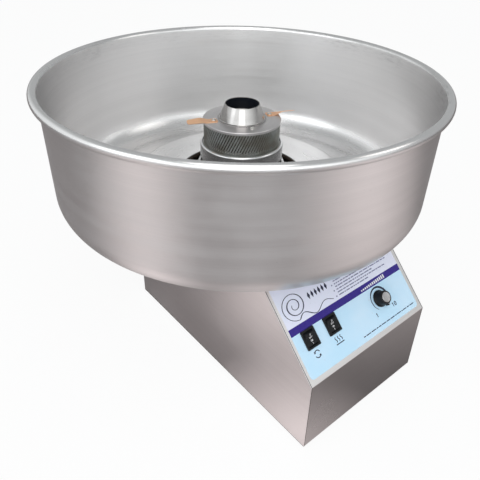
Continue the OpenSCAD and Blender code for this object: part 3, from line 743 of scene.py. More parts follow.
class Grain(ShaderGroup):
    """Fine uneven skin of castings, mouldings and rubber."""

    name = "grain"
    inputs = {"Size": 1800.0, "Lumps": 240.0}
    outputs = {"Fine": "Float", "Coarse": "Float", "Height": "Float"}

    def wire(self, wiring: Wiring, given: Sockets) -> dict[str, Socket]:
        """Two sizes of noise, with their mean as the height."""
        place = wiring.place()
        fine, coarse = wiring.noise(place, given["Size"]), wiring.noise(place, given["Lumps"], 3.0)
        height = wiring.sum("ADD", wiring.product(fine, 0.5), wiring.product(coarse, 0.5))
        return {"Fine": fine, "Coarse": coarse, "Height": height}


# ---------- finishes ----------


@dataclass(frozen=True)
class Finish:
    """A finish of the machine, which makes one material.

    Attributes:
        name: The material's name.
        colour: Its main colour.
        shade: The colour of its marks, worn places or dirt.
        roughness: Roughness in the smoothest places.
        spread: Added roughness in the roughest places.
        relief: Height of its finest marks, in millimetres.
    """

    name: str
    colour: Colour
    shade: Colour
    roughness: float = 0.3
    spread: float = 0.12
    relief: float = 0.01

    def material(self) -> bpy.types.Material:
        """The finish's material, built at its first use."""
        known = bpy.data.materials.get(self.name)
        if known:
            return known
        made = bpy.data.materials.new(self.name)
        made.use_nodes = True
        made.node_tree.nodes.clear()
        wiring = Wiring(made.node_tree)
        surface = wiring.node("ShaderNodeBsdfPrincipled", self.wire(wiring))
        wiring.node("ShaderNodeOutputMaterial", {"Surface": surface.outputs["BSDF"]})
        return made

    def wire(self, wiring: Wiring) -> dict[str, object]:
        """Builds the finish's marks.

        Args:
            wiring: Adds nodes to the material's tree.

        Returns:
            What feeds the inputs of the Principled node, by their names.
        """
        raise NotImplementedError

    def rough(self, wiring: Wiring, value: object, low: float = 0.0, high: float = 1.0) -> Socket:
        """Goes from the finish's least to its greatest roughness, while a value goes from low to high."""
        return wiring.ranged(value, low, high, self.roughness, self.roughness + self.spread)

    def skin(self, wiring: Wiring, colour: object, rough: object, height: object) -> dict[str, object]:
        """What feeds every finish: a colour, a roughness, and a height map for the relief."""
        raised = wiring.node("ShaderNodeBump", {"Height": height, "Distance": self.relief * MM})
        return {"Base Color": colour, "Roughness": rough, "Normal": raised.outputs["Normal"]}


@dataclass(frozen=True)
class TurnedMetal(Finish):
    """Metal that was spun or turned round the Z axis.

    Attributes:
        spacing: How fine its rings are.
        drawn: How far highlights are drawn out across the rings.
        tint: A second main colour, in broad soft patches.
        patches: Scale of those patches.
        centre: A point on the axis of its rings, in millimetres.
        tilt: Tilt of that axis from upright towards the front, in degrees.
        painted_shade_radius: Radius within which its colour is near black, painted shade where the collar
            goes down into the dark gap, in millimetres.
        scuffed: Heights where scuffs on its inside begin and are full, in millimetres.
        burnished: How much smoother faces that look upwards are.
        upper: A lighter colour for faces that look upwards, a painted highlight, where it is given.
    """

    spacing: float = 1500.0
    drawn: float = 0.5
    tint: Colour | None = None
    patches: float = 3.0
    centre: Triple = (0.0, 0.0, 0.0)
    tilt: float = 0.0
    painted_shade_radius: float = 0.0
    scuffed: tuple[float, float] | None = None
    burnished: float = 0.0
    upper: Colour | None = None

    def wire(self, wiring: Wiring) -> dict[str, object]:
        """Rings in the colour, roughness and relief, with smudges over them."""
        lean = (radians(self.tilt), 0.0, 0.0)
        middle = tuple(value * MM for value in self.centre)
        given = {"Vector": wiring.place(), "Location": middle, "Rotation": lean}
        centred = wiring.node("ShaderNodeMapping", given, vector_type="TEXTURE").outputs["Vector"]
        marks = TurnedMarks().use(wiring, spacing=self.spacing, place=centred)
        handled = Handling().use(wiring)
        colour: object = self.colour
        if self.tint:
            patches = wiring.noise(wiring.place(), self.patches, 1.0)
            colour = wiring.marked(colour, self.tint, patches, 0.35, 0.65, 1.0)
        # Faces that look upwards take the upper colour: a painted highlight.
        if self.upper:
            colour = wiring.marked(colour, self.upper, wiring.upward(), 0.25, 0.6, 1.0)
        colour = wiring.marked(colour, self.shade, marks["Lines"], 0.35, 0.7, 0.22)
        colour = wiring.marked(colour, self.shade, marks["Broad"], 0.4, 0.75, 0.2)
        colour = wiring.laid(colour, self.shade, handled["Specks"], 0.25)
        # Near black round the hole: painted shade on the collar over the dark gap round the head.
        if self.painted_shade_radius:
            radius = wiring.vector("LENGTH", wiring.vector("MULTIPLY", centred, (1.0, 1.0, 0.0)))
            hole_shade = wiring.ranged(radius, self.painted_shade_radius * MM, (self.painted_shade_radius + 3) * MM, 1.0, 0.0)
            colour = wiring.blend(hole_shade, colour, (0.03, 0.022, 0.018))
        if self.scuffed:
            colour = wiring.blend(self.scuffs(wiring, centred), colour, (0.42, 0.41, 0.41))
        uneven = wiring.sum("ADD", wiring.product(handled["Smudges"], 0.5), marks["Broad"])
        rough = self.rough(wiring, uneven, 0.3, 1.1)
        if self.burnished:
            smoother = wiring.ranged(wiring.upward(), 0.05, 0.5, 0.0, self.burnished)
            rough = wiring.sum("SUBTRACT", rough, smoother)
        round_axis = wiring.vector("CROSS_PRODUCT", (0.0, 0.0, 1.0), centred)
        given = {"Vector": round_axis, "Rotation": lean}
        leant = wiring.node("ShaderNodeMapping", given, vector_type="VECTOR").outputs["Vector"]
        turned = wiring.node(
            "ShaderNodeVectorTransform", {"Vector": leant},
            vector_type="VECTOR", convert_from="OBJECT", convert_to="WORLD",
        )
        return {
            **self.skin(wiring, colour, rough, marks["Lines"]), "Metallic": 1.0, "Anisotropic": self.drawn,
            "Anisotropic Rotation": 0.25, "Tangent": turned.outputs["Vector"],
        }

    def scuffs(self, wiring: Wiring, centred: Socket) -> Socket:
        """How scuffed the inside of a wall is, in blotches that lie flat.

        Args:
            wiring: Adds nodes to the material's tree.
            centred: Place from the axis of the rings.

        Returns:
            A share from 0 to 0.55.
        """
        low, high = self.scuffed
        zone = wiring.ranged(wiring.parts(centred)["Z"], low * MM, high * MM)
        flat = wiring.vector("MULTIPLY", centred, (1.0, 1.0, 0.0))
        inside = wiring.ranged(wiring.vector("DOT_PRODUCT", wiring.facing(), flat), -0.1, -0.05, 1.0, 0.0)
        squeezed = wiring.vector("MULTIPLY", centred, (1.0, 1.0, 5.0))
        blotches = wiring.ranged(wiring.noise(squeezed, 45.0, 5.0, 0.7), 0.48, 0.62, 0.0, 0.55)
        places = wiring.ranged(wiring.noise(centred, 5.0), 0.46, 0.62, 0.15, 1.0)
        return wiring.product(zone, inside, blotches, places)


@dataclass(frozen=True)
class BrushedSheet(Finish):
    """Sheet steel with a straight belt grain.

    Attributes:
        stretch: How fast the grain changes along X, Y and Z.
        upper: A lighter colour for faces that look upwards, a painted highlight, where it is given.
    """

    stretch: Triple = (6.0, 900.0, 900.0)
    upper: Colour | None = None

    def wire(self, wiring: Wiring) -> dict[str, object]:
        """Grain in the colour, roughness and relief, with smudges over it."""
        grain = BrushedGrain().use(wiring, stretch=self.stretch)
        handled = Handling().use(wiring)
        colour: object = self.colour
        # Faces that look upwards take the upper colour: a painted highlight.
        if self.upper:
            colour = wiring.marked(colour, self.upper, wiring.upward(), 0.2, 0.5, 1.0)
        colour = wiring.marked(colour, self.shade, grain["Lines"], 0.35, 0.7, 0.16)
        colour = wiring.marked(colour, self.shade, grain["Streaks"], 0.4, 0.75, 0.08)
        rough = self.rough(wiring, handled["Smudges"])
        return {**self.skin(wiring, colour, rough, grain["Lines"]), "Metallic": 1.0}


@dataclass(frozen=True)
class CastMetal(Finish):
    """Cast or pressed metal with a fine skin and brighter edges.

    Attributes:
        metallic: How metallic its skin is: 0 for paint, 1 for bare metal.
    """

    metallic: float = 1.0

    def wire(self, wiring: Wiring) -> dict[str, object]:
        """Skin, and worn edges."""
        grain = Grain().use(wiring)
        handled = Handling().use(wiring)
        worn = EdgeWear().use(wiring)["Worn"]
        colour = wiring.marked(self.colour, self.shade, grain["Coarse"], 0.4, 0.7, 0.35)
        colour = wiring.laid(colour, (0.62, 0.61, 0.6), worn, 0.6)
        rough = self.rough(wiring, handled["Smudges"])
        metal = wiring.sum("MAXIMUM", worn, self.metallic)
        return {**self.skin(wiring, colour, rough, grain["Height"]), "Metallic": metal}


@dataclass(frozen=True)
class Moulding(Finish):
    """Moulded plastic, rubber, ink, ceramic or carbon: no bare metal.

    Attributes:
        size: How fine its skin is.
        wear: How far its edges have gone pale.
        shine: Strength of its reflections, 0.5 for common plastic.
    """

    size: float = 1800.0
    wear: float = 0.25
    shine: float = 0.5

    def wire(self, wiring: Wiring) -> dict[str, object]:
        """Skin, specks of dust and pale edges."""
        grain = Grain().use(wiring, size=self.size)
        handled = Handling().use(wiring, speck_size=900.0)
        worn = EdgeWear().use(wiring)["Worn"]
        colour = wiring.marked(self.colour, self.shade, grain["Coarse"], 0.4, 0.7, 0.3)
        colour = wiring.laid(colour, (0.5, 0.49, 0.47), handled["Specks"], 0.12)
        colour = wiring.laid(colour, (0.4, 0.4, 0.4), worn, self.wear)
        rough = self.rough(wiring, grain["Fine"], 0.3, 0.7)
        return {**self.skin(wiring, colour, rough, grain["Height"]), "Specular IOR Level": self.shine}


@dataclass(frozen=True)
class PanelFilm(Finish):
    """Printed film of the control panel, pale above its stripe and blue below it.

    Attributes:
        split: Height up the slope at which the colour changes.
        slope: Direction up the slope.
        foot: A point at the foot of the slope, in millimetres.
    """

    split: float = 81.0
    slope: Triple = (0.0, sqrt(0.5), sqrt(0.5))
    foot: Triple = (0.0, -330.0, 140.0)

    def wire(self, wiring: Wiring) -> dict[str, object]:
        """The two colours, a little mottling, and a satin gloss."""
        up = wiring.vector("DOT_PRODUCT", wiring.place(), self.slope)
        start = (Vector(self.foot).dot(Vector(self.slope)) + self.split) * MM
        grain = Grain().use(wiring, size=900.0, lumps=18.0)
        handled = Handling().use(wiring, smudge_size=16.0)
        colour = wiring.marked(self.colour, self.shade, up, start - 0.5 * MM, start + 0.5 * MM, 1.0)
        colour = wiring.marked(colour, (0.78, 0.86, 0.97), grain["Coarse"], 0.4, 0.7, 0.3)
        colour = wiring.laid(colour, (0.5, 0.52, 0.6), handled["Specks"], 0.3)
        return self.skin(wiring, colour, self.rough(wiring, handled["Smudges"]), grain["Height"])


@dataclass(frozen=True)
class Windings(Finish):
    """Enamelled wire in a round bundle: bright turns beside dark gaps, whose colour is painted shade.

    Attributes:
        turns: How many turns lie in a metre.
    """

    turns: float = 900.0

    def wire(self, wiring: Wiring) -> dict[str, object]:
        """Fine bands across the bundle, in the colour and the relief."""
        marks = TurnedMarks().use(wiring, spacing=self.turns, place=wiring.place())
        lines = wiring.ranged(marks["Lines"], 0.35, 0.65)
        rough = wiring.ranged(lines, 0.0, 1.0, self.roughness + self.spread, self.roughness)
        # The gaps between turns take the shade colour: painted shade.
        colour = wiring.blend(lines, self.shade, self.colour)
        return {**self.skin(wiring, colour, rough, lines), "Metallic": 0.8, "Coat Weight": 0.5}


class Finishes:
    """Every finish of the machine."""

    spun_bowl = TurnedMetal(
        "spun aluminium", (0.8, 0.79, 0.79), (0.62, 0.61, 0.61), 0.3, 0.12, 0.02, 900.0, 0.7,
        tint=(0.77, 0.76, 0.755), patches=2.2, painted_shade_radius=109.0, scuffed=(454.0, 468.0), burnished=0.11,
    )
    polished = TurnedMetal(
        "polished aluminium", (0.66, 0.66, 0.66), (0.34, 0.34, 0.34), 0.14, 0.1, 0.01, 2600.0, 0.5
    )
    funnel_steel = TurnedMetal(
        "funnel steel", (0.46, 0.445, 0.435), (0.3, 0.29, 0.285), 0.1, 0.08, 0.01, 2600.0, 0.25
    )
    lid = TurnedMetal(
        "turned lid", (0.68, 0.655, 0.655), (0.44, 0.42, 0.42), 0.26, 0.12, 0.01, 1800.0, 0.6
    )
    # The cup's upper colour is a painted highlight on its rounded shoulder.
    cup_steel = TurnedMetal(
        "cup steel", (0.3, 0.295, 0.295), (0.17, 0.17, 0.175), 0.17, 0.1, 0.01, 1800.0, 0.5,
        upper=(0.85, 0.85, 0.85),
    )
    band_steel = TurnedMetal(
        "heat stained band", (0.51, 0.53, 0.515), (0.2, 0.205, 0.195), 0.38, 0.2, 0.02, 1200.0, 0.2,
        tint=(0.33, 0.32, 0.28), patches=40.0,
    )
    plated = TurnedMetal(
        "plated steel", (0.62, 0.61, 0.58), (0.36, 0.35, 0.33), 0.22, 0.12, 0.01, 3000.0, 0.0
    )
    brass = TurnedMetal("brass", (0.78, 0.56, 0.25), (0.42, 0.27, 0.1), 0.24, 0.14, 0.01, 3000.0, 0.0)
    core_steel = TurnedMetal(
        "laminated core", (0.34, 0.34, 0.36), (0.09, 0.08, 0.08), 0.4, 0.15, 0.06, 2200.0, 0.0
    )
    # The side and front sheets are one steel in two colours: the sides' lighter colour is painted light, the
    # front's darker colour painted shade, and the front's upper colour a painted highlight on the slope and
    # top.
    side_sheet = BrushedSheet(
        "brushed side sheet", (0.88, 0.86, 0.86), (0.6, 0.585, 0.585), 0.3, 0.1, 0.01, (900.0, 5.0, 900.0)
    )
    front_sheet = BrushedSheet(
        "brushed front sheet", (0.5, 0.49, 0.49), (0.32, 0.31, 0.31), 0.26, 0.1, 0.01, (5.0, 900.0, 900.0),
        (0.86, 0.83, 0.82),
    )
    tray_sheet = BrushedSheet(
        "galvanised tray", (0.42, 0.43, 0.44), (0.25, 0.26, 0.27), 0.42, 0.14, 0.01, (60.0, 60.0, 60.0)
    )
    vane_copper = BrushedSheet(
        "heat tinted vane", (0.96, 0.6, 0.38), (0.75, 0.4, 0.23), 0.42, 0.12, 0.02, (120.0, 120.0, 120.0)
    )
    ribbon = CastMetal("ribbon alloy", (0.2, 0.17, 0.15), (0.08, 0.06, 0.05), 0.45, 0.2, 0.01)
    control_casting = CastMetal(
        "control casting", (0.1, 0.1, 0.11), (0.05, 0.05, 0.055), 0.45, 0.2, 0.03, 0.6
    )
    motor_paint = CastMetal(
        "motor paint", (0.05, 0.055, 0.06), (0.03, 0.03, 0.032), 0.4, 0.2, 0.03, 0.0
    )
    motor_casting = CastMetal("motor casting", (0.48, 0.48, 0.49), (0.3, 0.3, 0.3), 0.45, 0.2, 0.05)
    # Near black: painted shade in the cabinet's corner gaps and a painted contact shadow under its sides.
    seam = Moulding(
        "seam grime", (0.05, 0.042, 0.04), (0.09, 0.078, 0.072), 0.6, 0.2, 0.02, wear=0.0, shine=0.2
    )
    # Near black with a blue cast: painted shade inside the funnel.
    painted_funnel_shade = Moulding(
        "burnt sugar", (0.006, 0.008, 0.016), (0.016, 0.018, 0.026), 0.4, 0.2, 0.05, wear=0.0
    )
    rubber = Moulding("rubber", (0.03, 0.03, 0.03), (0.07, 0.068, 0.065), 0.62, 0.2, 0.06, wear=0.15)
    black = Moulding(
        "black plastic", (0.006, 0.007, 0.008), (0.012, 0.013, 0.015), 0.42, 0.12, 0.02, wear=0.1, shine=0.25
    )
    white = Moulding("white plastic", (0.72, 0.7, 0.64), (0.55, 0.53, 0.47), 0.4, 0.15, 0.02)
    phenolic = Moulding(
        "phenolic", (0.11, 0.045, 0.02), (0.2, 0.09, 0.04), 0.42, 0.18, 0.02, size=700.0
    )
    carbon = Moulding("brush carbon", (0.035, 0.035, 0.037), (0.08, 0.08, 0.085), 0.5, 0.2, 0.03)
    ceramic = Moulding("ceramic", (0.72, 0.69, 0.6), (0.5, 0.44, 0.34), 0.55, 0.2, 0.02)
    wire_cover = Moulding("wire cover", (0.4, 0.02, 0.015), (0.2, 0.01, 0.01), 0.4, 0.15, 0.01)
    windings = Windings("winding copper", (0.62, 0.27, 0.1), (0.16, 0.05, 0.02), 0.28, 0.2, 0.25)
    film = PanelFilm("panel film", (0.52, 0.76, 0.94), (0.77, 0.78, 0.92), 0.34, 0.12, 0.01)
    violet_ink = Moulding(
        "violet ink", (0.03, 0.014, 0.22), (0.05, 0.028, 0.28), 0.36, 0.1, 0.005, wear=0.0, shine=0.3
    )
    navy_ink = Moulding(
        "navy ink", (0.016, 0.018, 0.05), (0.03, 0.032, 0.075), 0.45, 0.1, 0.005, wear=0.0, shine=0.3
    )
    grey_ink = Moulding("grey ink", (0.17, 0.18, 0.3), (0.24, 0.25, 0.38), 0.4, 0.1, 0.005, wear=0.0)
    white_ink = Moulding("white ink", (0.8, 0.8, 0.82), (0.68, 0.68, 0.72), 0.4, 0.1, 0.005, wear=0.0)


# ---------- repeated pieces ----------


class Pattern(NodeGroup):
    """Repeats a piece's own mesh, and joins copies that touch."""

    kind = "GeometryNodeTree"
    outputs = {"Geometry": "Geometry"}
    weld: float = 0.005

    def wire(self, wiring: Wiring, given: Sockets) -> dict[str, Socket]:
        """Makes the copies one mesh with one material."""
        copies = self.copies(wiring, given)
        for kind, inputs in (
            ("GeometryNodeRealizeInstances", {}),
            ("GeometryNodeMergeByDistance", {"Distance": self.weld * MM}),
            ("GeometryNodeSetMaterial", {"Material": given["Material"]}),
        ):
            copies = wiring.node(kind, {"Geometry": copies, **inputs}).outputs["Geometry"]
        return {"Geometry": copies}

    def copies(self, wiring: Wiring, given: Sockets) -> Socket:
        """Places the copies.

        Args:
            wiring: Adds nodes to the tree.
            given: The tree's inputs.

        Returns:
            The socket with the copies.
        """
        raise NotImplementedError

    def repeat(self, piece: Piece, finish: Finish, values: dict[str, object]) -> Piece:
        """Repeats a piece's mesh and makes the result its plain mesh.

        Args:
            piece: The piece, with the mesh of one copy.
            finish: Finish of the result.
            values: The pattern's inputs by name.

        Returns:
            The same piece.
        """
        tree = self.tree()
        modifier = piece.modifiers.new(self.name, "NODES")
        modifier.node_group = tree
        ids = {item.name: item.identifier for item in tree.interface.items_tree if item.in_out == "INPUT"}
        for name, value in {**values, "Material": finish.material()}.items():
            modifier[ids[name]] = value
        return baked(piece)


class RingPattern(Pattern):
    """Copies at even steps round the Z axis."""

    name = "ring pattern"
    inputs = {"Geometry": "Geometry", "Count": "Int", "Start": "Float", "Material": "Material"}

    def copies(self, wiring: Wiring, given: Sockets) -> Socket:
        """One point for each copy, all on the axis, with the turn of its number."""
        index = wiring.node("GeometryNodeInputIndex").outputs["Index"]
        step = wiring.sum("DIVIDE", 2 * pi, given["Count"])
        turn = wiring.sum("ADD", wiring.product(index, step), given["Start"])
        turned = wiring.node("ShaderNodeCombineXYZ", {"Z": turn}).outputs["Vector"]
        points = wiring.node("GeometryNodePoints", {"Count": given["Count"]}).outputs[0]
        inputs = {"Points": points, "Instance": given["Geometry"], "Rotation": turned}
        return wiring.node("GeometryNodeInstanceOnPoints", inputs).outputs["Instances"]

    def around(self, piece: Piece, finish: Finish, count: int, start: float = 0.0) -> Piece:
        """Repeats a piece round the axis, with its first copy turned by an angle in degrees."""
        return self.repeat(piece, finish, {"Count": count, "Start": radians(start)})


class PlacePattern(Pattern):
    """Copies at the points of another object's mesh."""

    name = "place pattern"
    inputs = {"Geometry": "Geometry", "Places": "Object", "Material": "Material"}

    def copies(self, wiring: Wiring, given: Sockets) -> Socket:
        """One copy for each point, all the same way up."""
        places = wiring.node("GeometryNodeObjectInfo", {"Object": given["Places"]}).outputs["Geometry"]
        inputs = {"Points": places, "Instance": given["Geometry"]}
        return wiring.node("GeometryNodeInstanceOnPoints", inputs).outputs["Instances"]

    def at(self, piece: Piece, finish: Finish, places: Sequence[Sequence[float]]) -> Piece:
        """Repeats a piece at some places.

        Args:
            piece: The piece, with the mesh of one copy.
            finish: Finish of the result.
            places: Where the copies go, in millimetres.

        Returns:
            The same piece.
        """
        marks = bpy.data.meshes.new("places")
        marks.from_pydata([Vector(place) * MM for place in places], [], [])
        holder = linked("places", marks)
        self.repeat(piece, finish, {"Places": holder})
        bpy.data.objects.remove(holder)
        bpy.data.meshes.remove(marks)
        return piece


# ---------- fasteners ----------


@dataclass(frozen=True)
class PanScrew:
    """Screw with a low round head and a cross recess.

    Attributes:
        head_radius: Radius of the head.
        head_height: Height of the head at its middle.
        shank_radius: Radius of the shank.
        length: Length of the shank.
    """

    head_radius: float
    head_height: float
    shank_radius: float
    length: float

    def shape(self, place: Matrix | None = None) -> Shape:
        """The screw, pointing down, with its head's underside at the origin.

        Args:
            place: Where the screw goes, or None to leave it.

        Returns:
            The screw as a shape.
        """
        head, shank, end, steps = self.head_radius, self.shank_radius, -self.length, 9
        crown = head * 1.6
        radii = [head * (1 - k / steps) for k in range(steps + 1)]
        top = [(r, self.head_height - crown + sqrt(crown**2 - r**2)) for r in radii]
        edge = top[0][1]
        side = [(0, end), (shank * 0.6, end), (shank, end + shank * 0.5), (shank, 0), (head * 0.96, 0),
                (head, edge * 0.2), (head, edge * 0.75), (head * 0.985, edge * 0.95)]
        return Shape().polar(side + top[1:], 40, lambda r, _z, _a: r, place, self.recessed)

    def recessed(self, radius: float, height: float, angle: float) -> float:
        """Presses the cross into the head.

        Args:
            radius: A point's radius.
            height: Its height before.
            angle: Its angle in radians.

        Returns:
            Its height after.
        """
        if height < self.head_height * 0.3:
            return height
        x, y = abs(radius * cos(angle)), abs(radius * sin(angle))
        width, reach = self.head_radius * 0.13, self.head_radius * 0.55
        depth = 0.0
        for across, along in ((x, y), (y, x)):
            cut = 1 - smooth_step(width * 0.7, width * 1.5, across)
            depth = max(depth, cut * (1 - smooth_step(reach * 0.75, reach, along)))
        return height - depth * self.head_height * 0.45


def hexagonal(corner: float, reach: float) -> Callable[[float, float, float], float]:
    """A rule for Shape.polar that cuts a turned part to a hexagon.

    Args:
        corner: Radius of the hexagon's corners.
        reach: Radius within which nothing is cut.

    Returns:
        The rule, which gives a point's radius from its radius, height and angle.
    """
    side = pi / 3

    def radius_at(radius: float, _height: float, angle: float) -> float:
        """The smaller of a point's radius and the hexagon's at the same angle."""
        hexagon = corner * cos(side / 2) / cos((angle % side) - side / 2)
        return min(radius, hexagon) if radius > reach else radius

    return radius_at


def hex_nut(corner: float, height: float, bore: float) -> Shape:
    """A plain hexagon nut with chamfered corners.

    Args:
        corner: Radius of its corners.
        height: Its height.
        bore: Radius of its bore.

    Returns:
        The nut as a shape.
    """
    flat = corner * cos(pi / 6)
    cut = (corner - flat) * 0.7
    mouth, face = bore * 1.08, flat * 0.97
    outline = [(bore, height * 0.06), (mouth, 0), (face, 0), (corner, cut), (corner, height - cut),
               (face, height), (mouth, height), (bore, height * 0.94)]
    return Shape().polar(outline, 72, hexagonal(corner, flat * 0.98))


# ---------- bowl ----------


@dataclass
class SpunBowl:
    """The bowl: a collar, a raised middle, a step down to a trough, the wall and its rolled bead."""

    rim_radius: float = cad_high("bowl").x
    rim_top: float = cad_high("bowl").z
    foot: float = cad_low("bowl").z
    gasket_top: float = cad_high("bowl_gasket").z
    thickness: float = 2.0
    bead_radius: float = 7.0
    wall_bend: float = 47.0
    wall_lean: float = 0.6
    step_slope: float = 38.0
    step_bend: float = 14.0
    middle_radius: float = 178.0
    hole_radius: float = 107.0
    collar: float = 11.5
    collar_bend: float = 4.0
    seat_gap: float = 0.3
    facets: int = 240

    def outline(self) -> list[Point]:
        """The section of the bowl, from its collar out to its bead."""
        half = self.thickness / 2
        middle = self.gasket_top + self.seat_gap + half
        floor = self.foot + half
        slope, lean = radians(self.step_slope), radians(self.wall_lean)
        curl = self.bead_radius - half
        drop = middle - floor - 2 * self.step_bend * (1 - cos(slope))
        step_run = 2 * self.step_bend * sin(slope) + drop / tan(slope)
        turn = 90 - self.wall_lean
        wall_foot = self.wall_bend * (1 - sin(lean))
        rise = self.rim_top - self.bead_radius - floor - wall_foot - curl * sin(lean)
        curl_middle = self.rim_radius - self.bead_radius
        wall_inside = curl_middle - curl * cos(lean) - rise * tan(lean)
        trough = wall_inside - self.wall_bend * cos(lean) - self.middle_radius - step_run
        flat = self.middle_radius - self.hole_radius - half - self.collar_bend
        bends = [
            Bend(self.collar - self.collar_bend, -90, self.collar_bend),
            Bend(flat, -self.step_slope, self.step_bend),
            Bend(drop / sin(slope), self.step_slope, self.step_bend),
            Bend(trough, turn, self.wall_bend),
            Bend(rise / cos(lean), -300, curl),
        ]
        section = bent_sheet(bends, (self.hole_radius + half, middle - self.collar), 90, self.thickness, 5)
        return eased(section, 0.6)

    def build(self) -> None:
        """Makes the bowl."""
        shape = Shape().lathe(self.outline(), self.facets)
        fit(shape.piece("spun_bowl", Finishes.spun_bowl), Body.BOWL, "spun_aluminium", "bowl")


# ---------- spinning head ----------


@dataclass
class SpinningHead:
    """The head that melts the sugar and throws it out through its band."""

    band_radius: float = 65.4
    band_thickness: float = 1.2
    band_low: float = cad_low("slotted_band").z
    band_top: float = cad_high("slotted_band").z
    lid_top: float = cad_high("head_lid").z
    slots: int = 88
    slot_width: float = 1.8
    slot_slant: float = 25.0
    hoop: float = 3.5
    lip_drop: float = 2.6
    lip_thickness: float = 1.1
    funnel_flange: float = 41.5
    funnel_foot: float = 38.4
    funnel_sheet: float = 1.0
    mouth_radius: float = 28.6
    mouth_top: float = 436.5
    cup_radius: float = 71.6
    cup_bend: float = 8.0
    cup_shoulder: float = 3.0
    cup_foot: float = cad_low("head_cup").z
    cup_sheet: float = 2.0
    cup_bore: float = 8.0
    screw_radius: float = 50.0
    vane_angles: tuple[float, float] = (160.0, 340.0)
    plain_angles: tuple[float, float] = (70.0, 250.0)
    vane_root: float = 44.0
    vane_tip: float = 96.0
    vane_sheet: float = 0.8
    vane_pitch: float = 24.0
    pleats: int = 60
    pleat_inner: float = 55.8
    pleat_outer: float = 61.0
    ribbon_sheet: float = 0.7
    nut_corner: float = 10.4
    nut_height: float = 8.0
    dome_radius: float = 8.6
    shaft_end: float = 380.5
    shaft_radius: float = 6.4

    def build(self) -> None:
        """Makes the head's pieces, from the cup up."""
        for piece, slot, *nodes in (
            (self.cup(), "polished_metal", "head_cup"),
            (self.band(), "band_steel", "slotted_band"),
            (self.ribbon(), "ribbon_alloy", "heating_ribbon"),
            (self.lid(), "polished_metal", "head_lid"),
            (self.funnel(), "polished_metal", "sugar_funnel"),
            (self.lining(), "polished_metal"),
            (self.vanes(), "vane_copper", "lift_vanes"),
            (self.screws(), "plated_steel", "head_screws"),
            (self.nut(), "brass", "head_nut"),
        ):
            fit(piece, Body.SPINNER, slot, *nodes)

    def cup(self) -> Piece:
        """The cup under the band, with an upright wall and a rounded shoulder."""
        floor = self.cup_foot + self.cup_sheet / 2
        wall = self.band_low + 0.2 - self.cup_shoulder - floor - self.cup_bend
        bends = [
            Bend(self.cup_radius - self.cup_sheet / 2 - self.cup_bend - self.cup_bore, 90, self.cup_bend),
            Bend(wall, 80, self.cup_shoulder),
            Bend(0.4),
        ]
        section = bent_sheet(bends, (self.cup_bore, floor), 0, self.cup_sheet, 5)
        return Shape().lathe(eased(section, 0.7, 4), 160).piece("cup_shell", Finishes.cup_steel)

    def band(self) -> Piece:
        """The band: one stretch with half a bar on each side of its slot, repeated round the head."""
        pitch = 2 * pi / self.slots
        slant = tan(radians(self.slot_slant))
        half_slot = self.slot_width / 2 / cos(radians(self.slot_slant)) / self.band_radius
        across = [-pitch / 2, -pitch / 4, -half_slot, half_slot, pitch / 4, pitch / 2]
        slot_low, slot_top = self.band_low + self.hoop, self.band_top - self.hoop
        steps = 8
        up = [self.band_low] + [slot_low + (slot_top - slot_low) * k / steps for k in range(steps + 1)]
        up.append(self.band_top)
        middle = (self.band_low + self.band_top) / 2
        points = []
        for radius in (self.band_radius, self.band_radius - self.band_thickness):
            for z in up:
                for a in across:
                    angle = a + (z - middle) * slant / self.band_radius
                    points.append((radius * cos(angle), radius * sin(angle), z))
        row, layer = len(across), len(across) * len(up)

        def solid(i: int, j: int) -> bool:
            """Whether there is metal in column i and row j: the slot is column 2, but for the hoops."""
            return 0 <= j < len(up) - 1 and (i != 2 or j in (0, len(up) - 2))

        faces = []
        for j in range(len(up) - 1):
            for i in range(row - 1):
                if not solid(i, j):
                    continue
                a, b = j * row + i, (j + 1) * row + i
                faces.append((a, a + 1, b + 1, b))
                faces.append((layer + a, layer + b, layer + b + 1, layer + a + 1))
                if not solid(i, j - 1):
                    faces.append((layer + a, layer + a + 1, a + 1, a))
                if not solid(i, j + 1):
                    faces.append((b, b + 1, layer + b + 1, layer + b))
                if i < row - 2 and not solid(i + 1, j):
                    faces.append((a + 1, layer + a + 1, layer + b + 1, b + 1))
                if i > 0 and not solid(i - 1, j):
                    faces.append((a, b, layer + b, layer + a))
        cell = Shape().add(points, faces).mesh("throwing_band")
        return RingPattern().around(cell, Finishes.band_steel, self.slots)

    def ribbon(self) -> Piece:
        """The pleated heating ribbon: one pleat, repeated round the head."""
        low, top = cad_low("heating_ribbon").z, cad_high("heating_ribbon").z
        pitch = 2 * pi / self.pleats
        steps = 10
        middle = (self.pleat_inner + self.pleat_outer) / 2
        swing = (self.pleat_outer - self.pleat_inner) / 2
        waves = [(pitch * (k / steps - 0.5), middle + swing * cos(2 * pi * (k / steps - 0.5)))
                 for k in range(steps + 1)]
        points = []
        for z in (low, top):
            for depth in (0.0, self.ribbon_sheet):
                points += [((r - depth) * cos(a), (r - depth) * sin(a), z) for a, r in waves]
        row = steps + 1
        faces = []
        for k in range(steps):
            outer, inner, outer_top, inner_top = k, row + k, 2 * row + k, 3 * row + k
            faces += [(outer, outer + 1, outer_top + 1, outer_top),
                      (inner, inner_top, inner_top + 1, inner + 1),
                      (outer_top, outer_top + 1, inner_top + 1, inner_top),
                      (outer, inner, inner + 1, outer + 1)]
        pleat = Shape().add(points, faces).mesh("pleated_ribbon", 60)
        start = 180 / self.pleats
        return RingPattern().around(pleat, Finishes.ribbon, self.pleats, start)

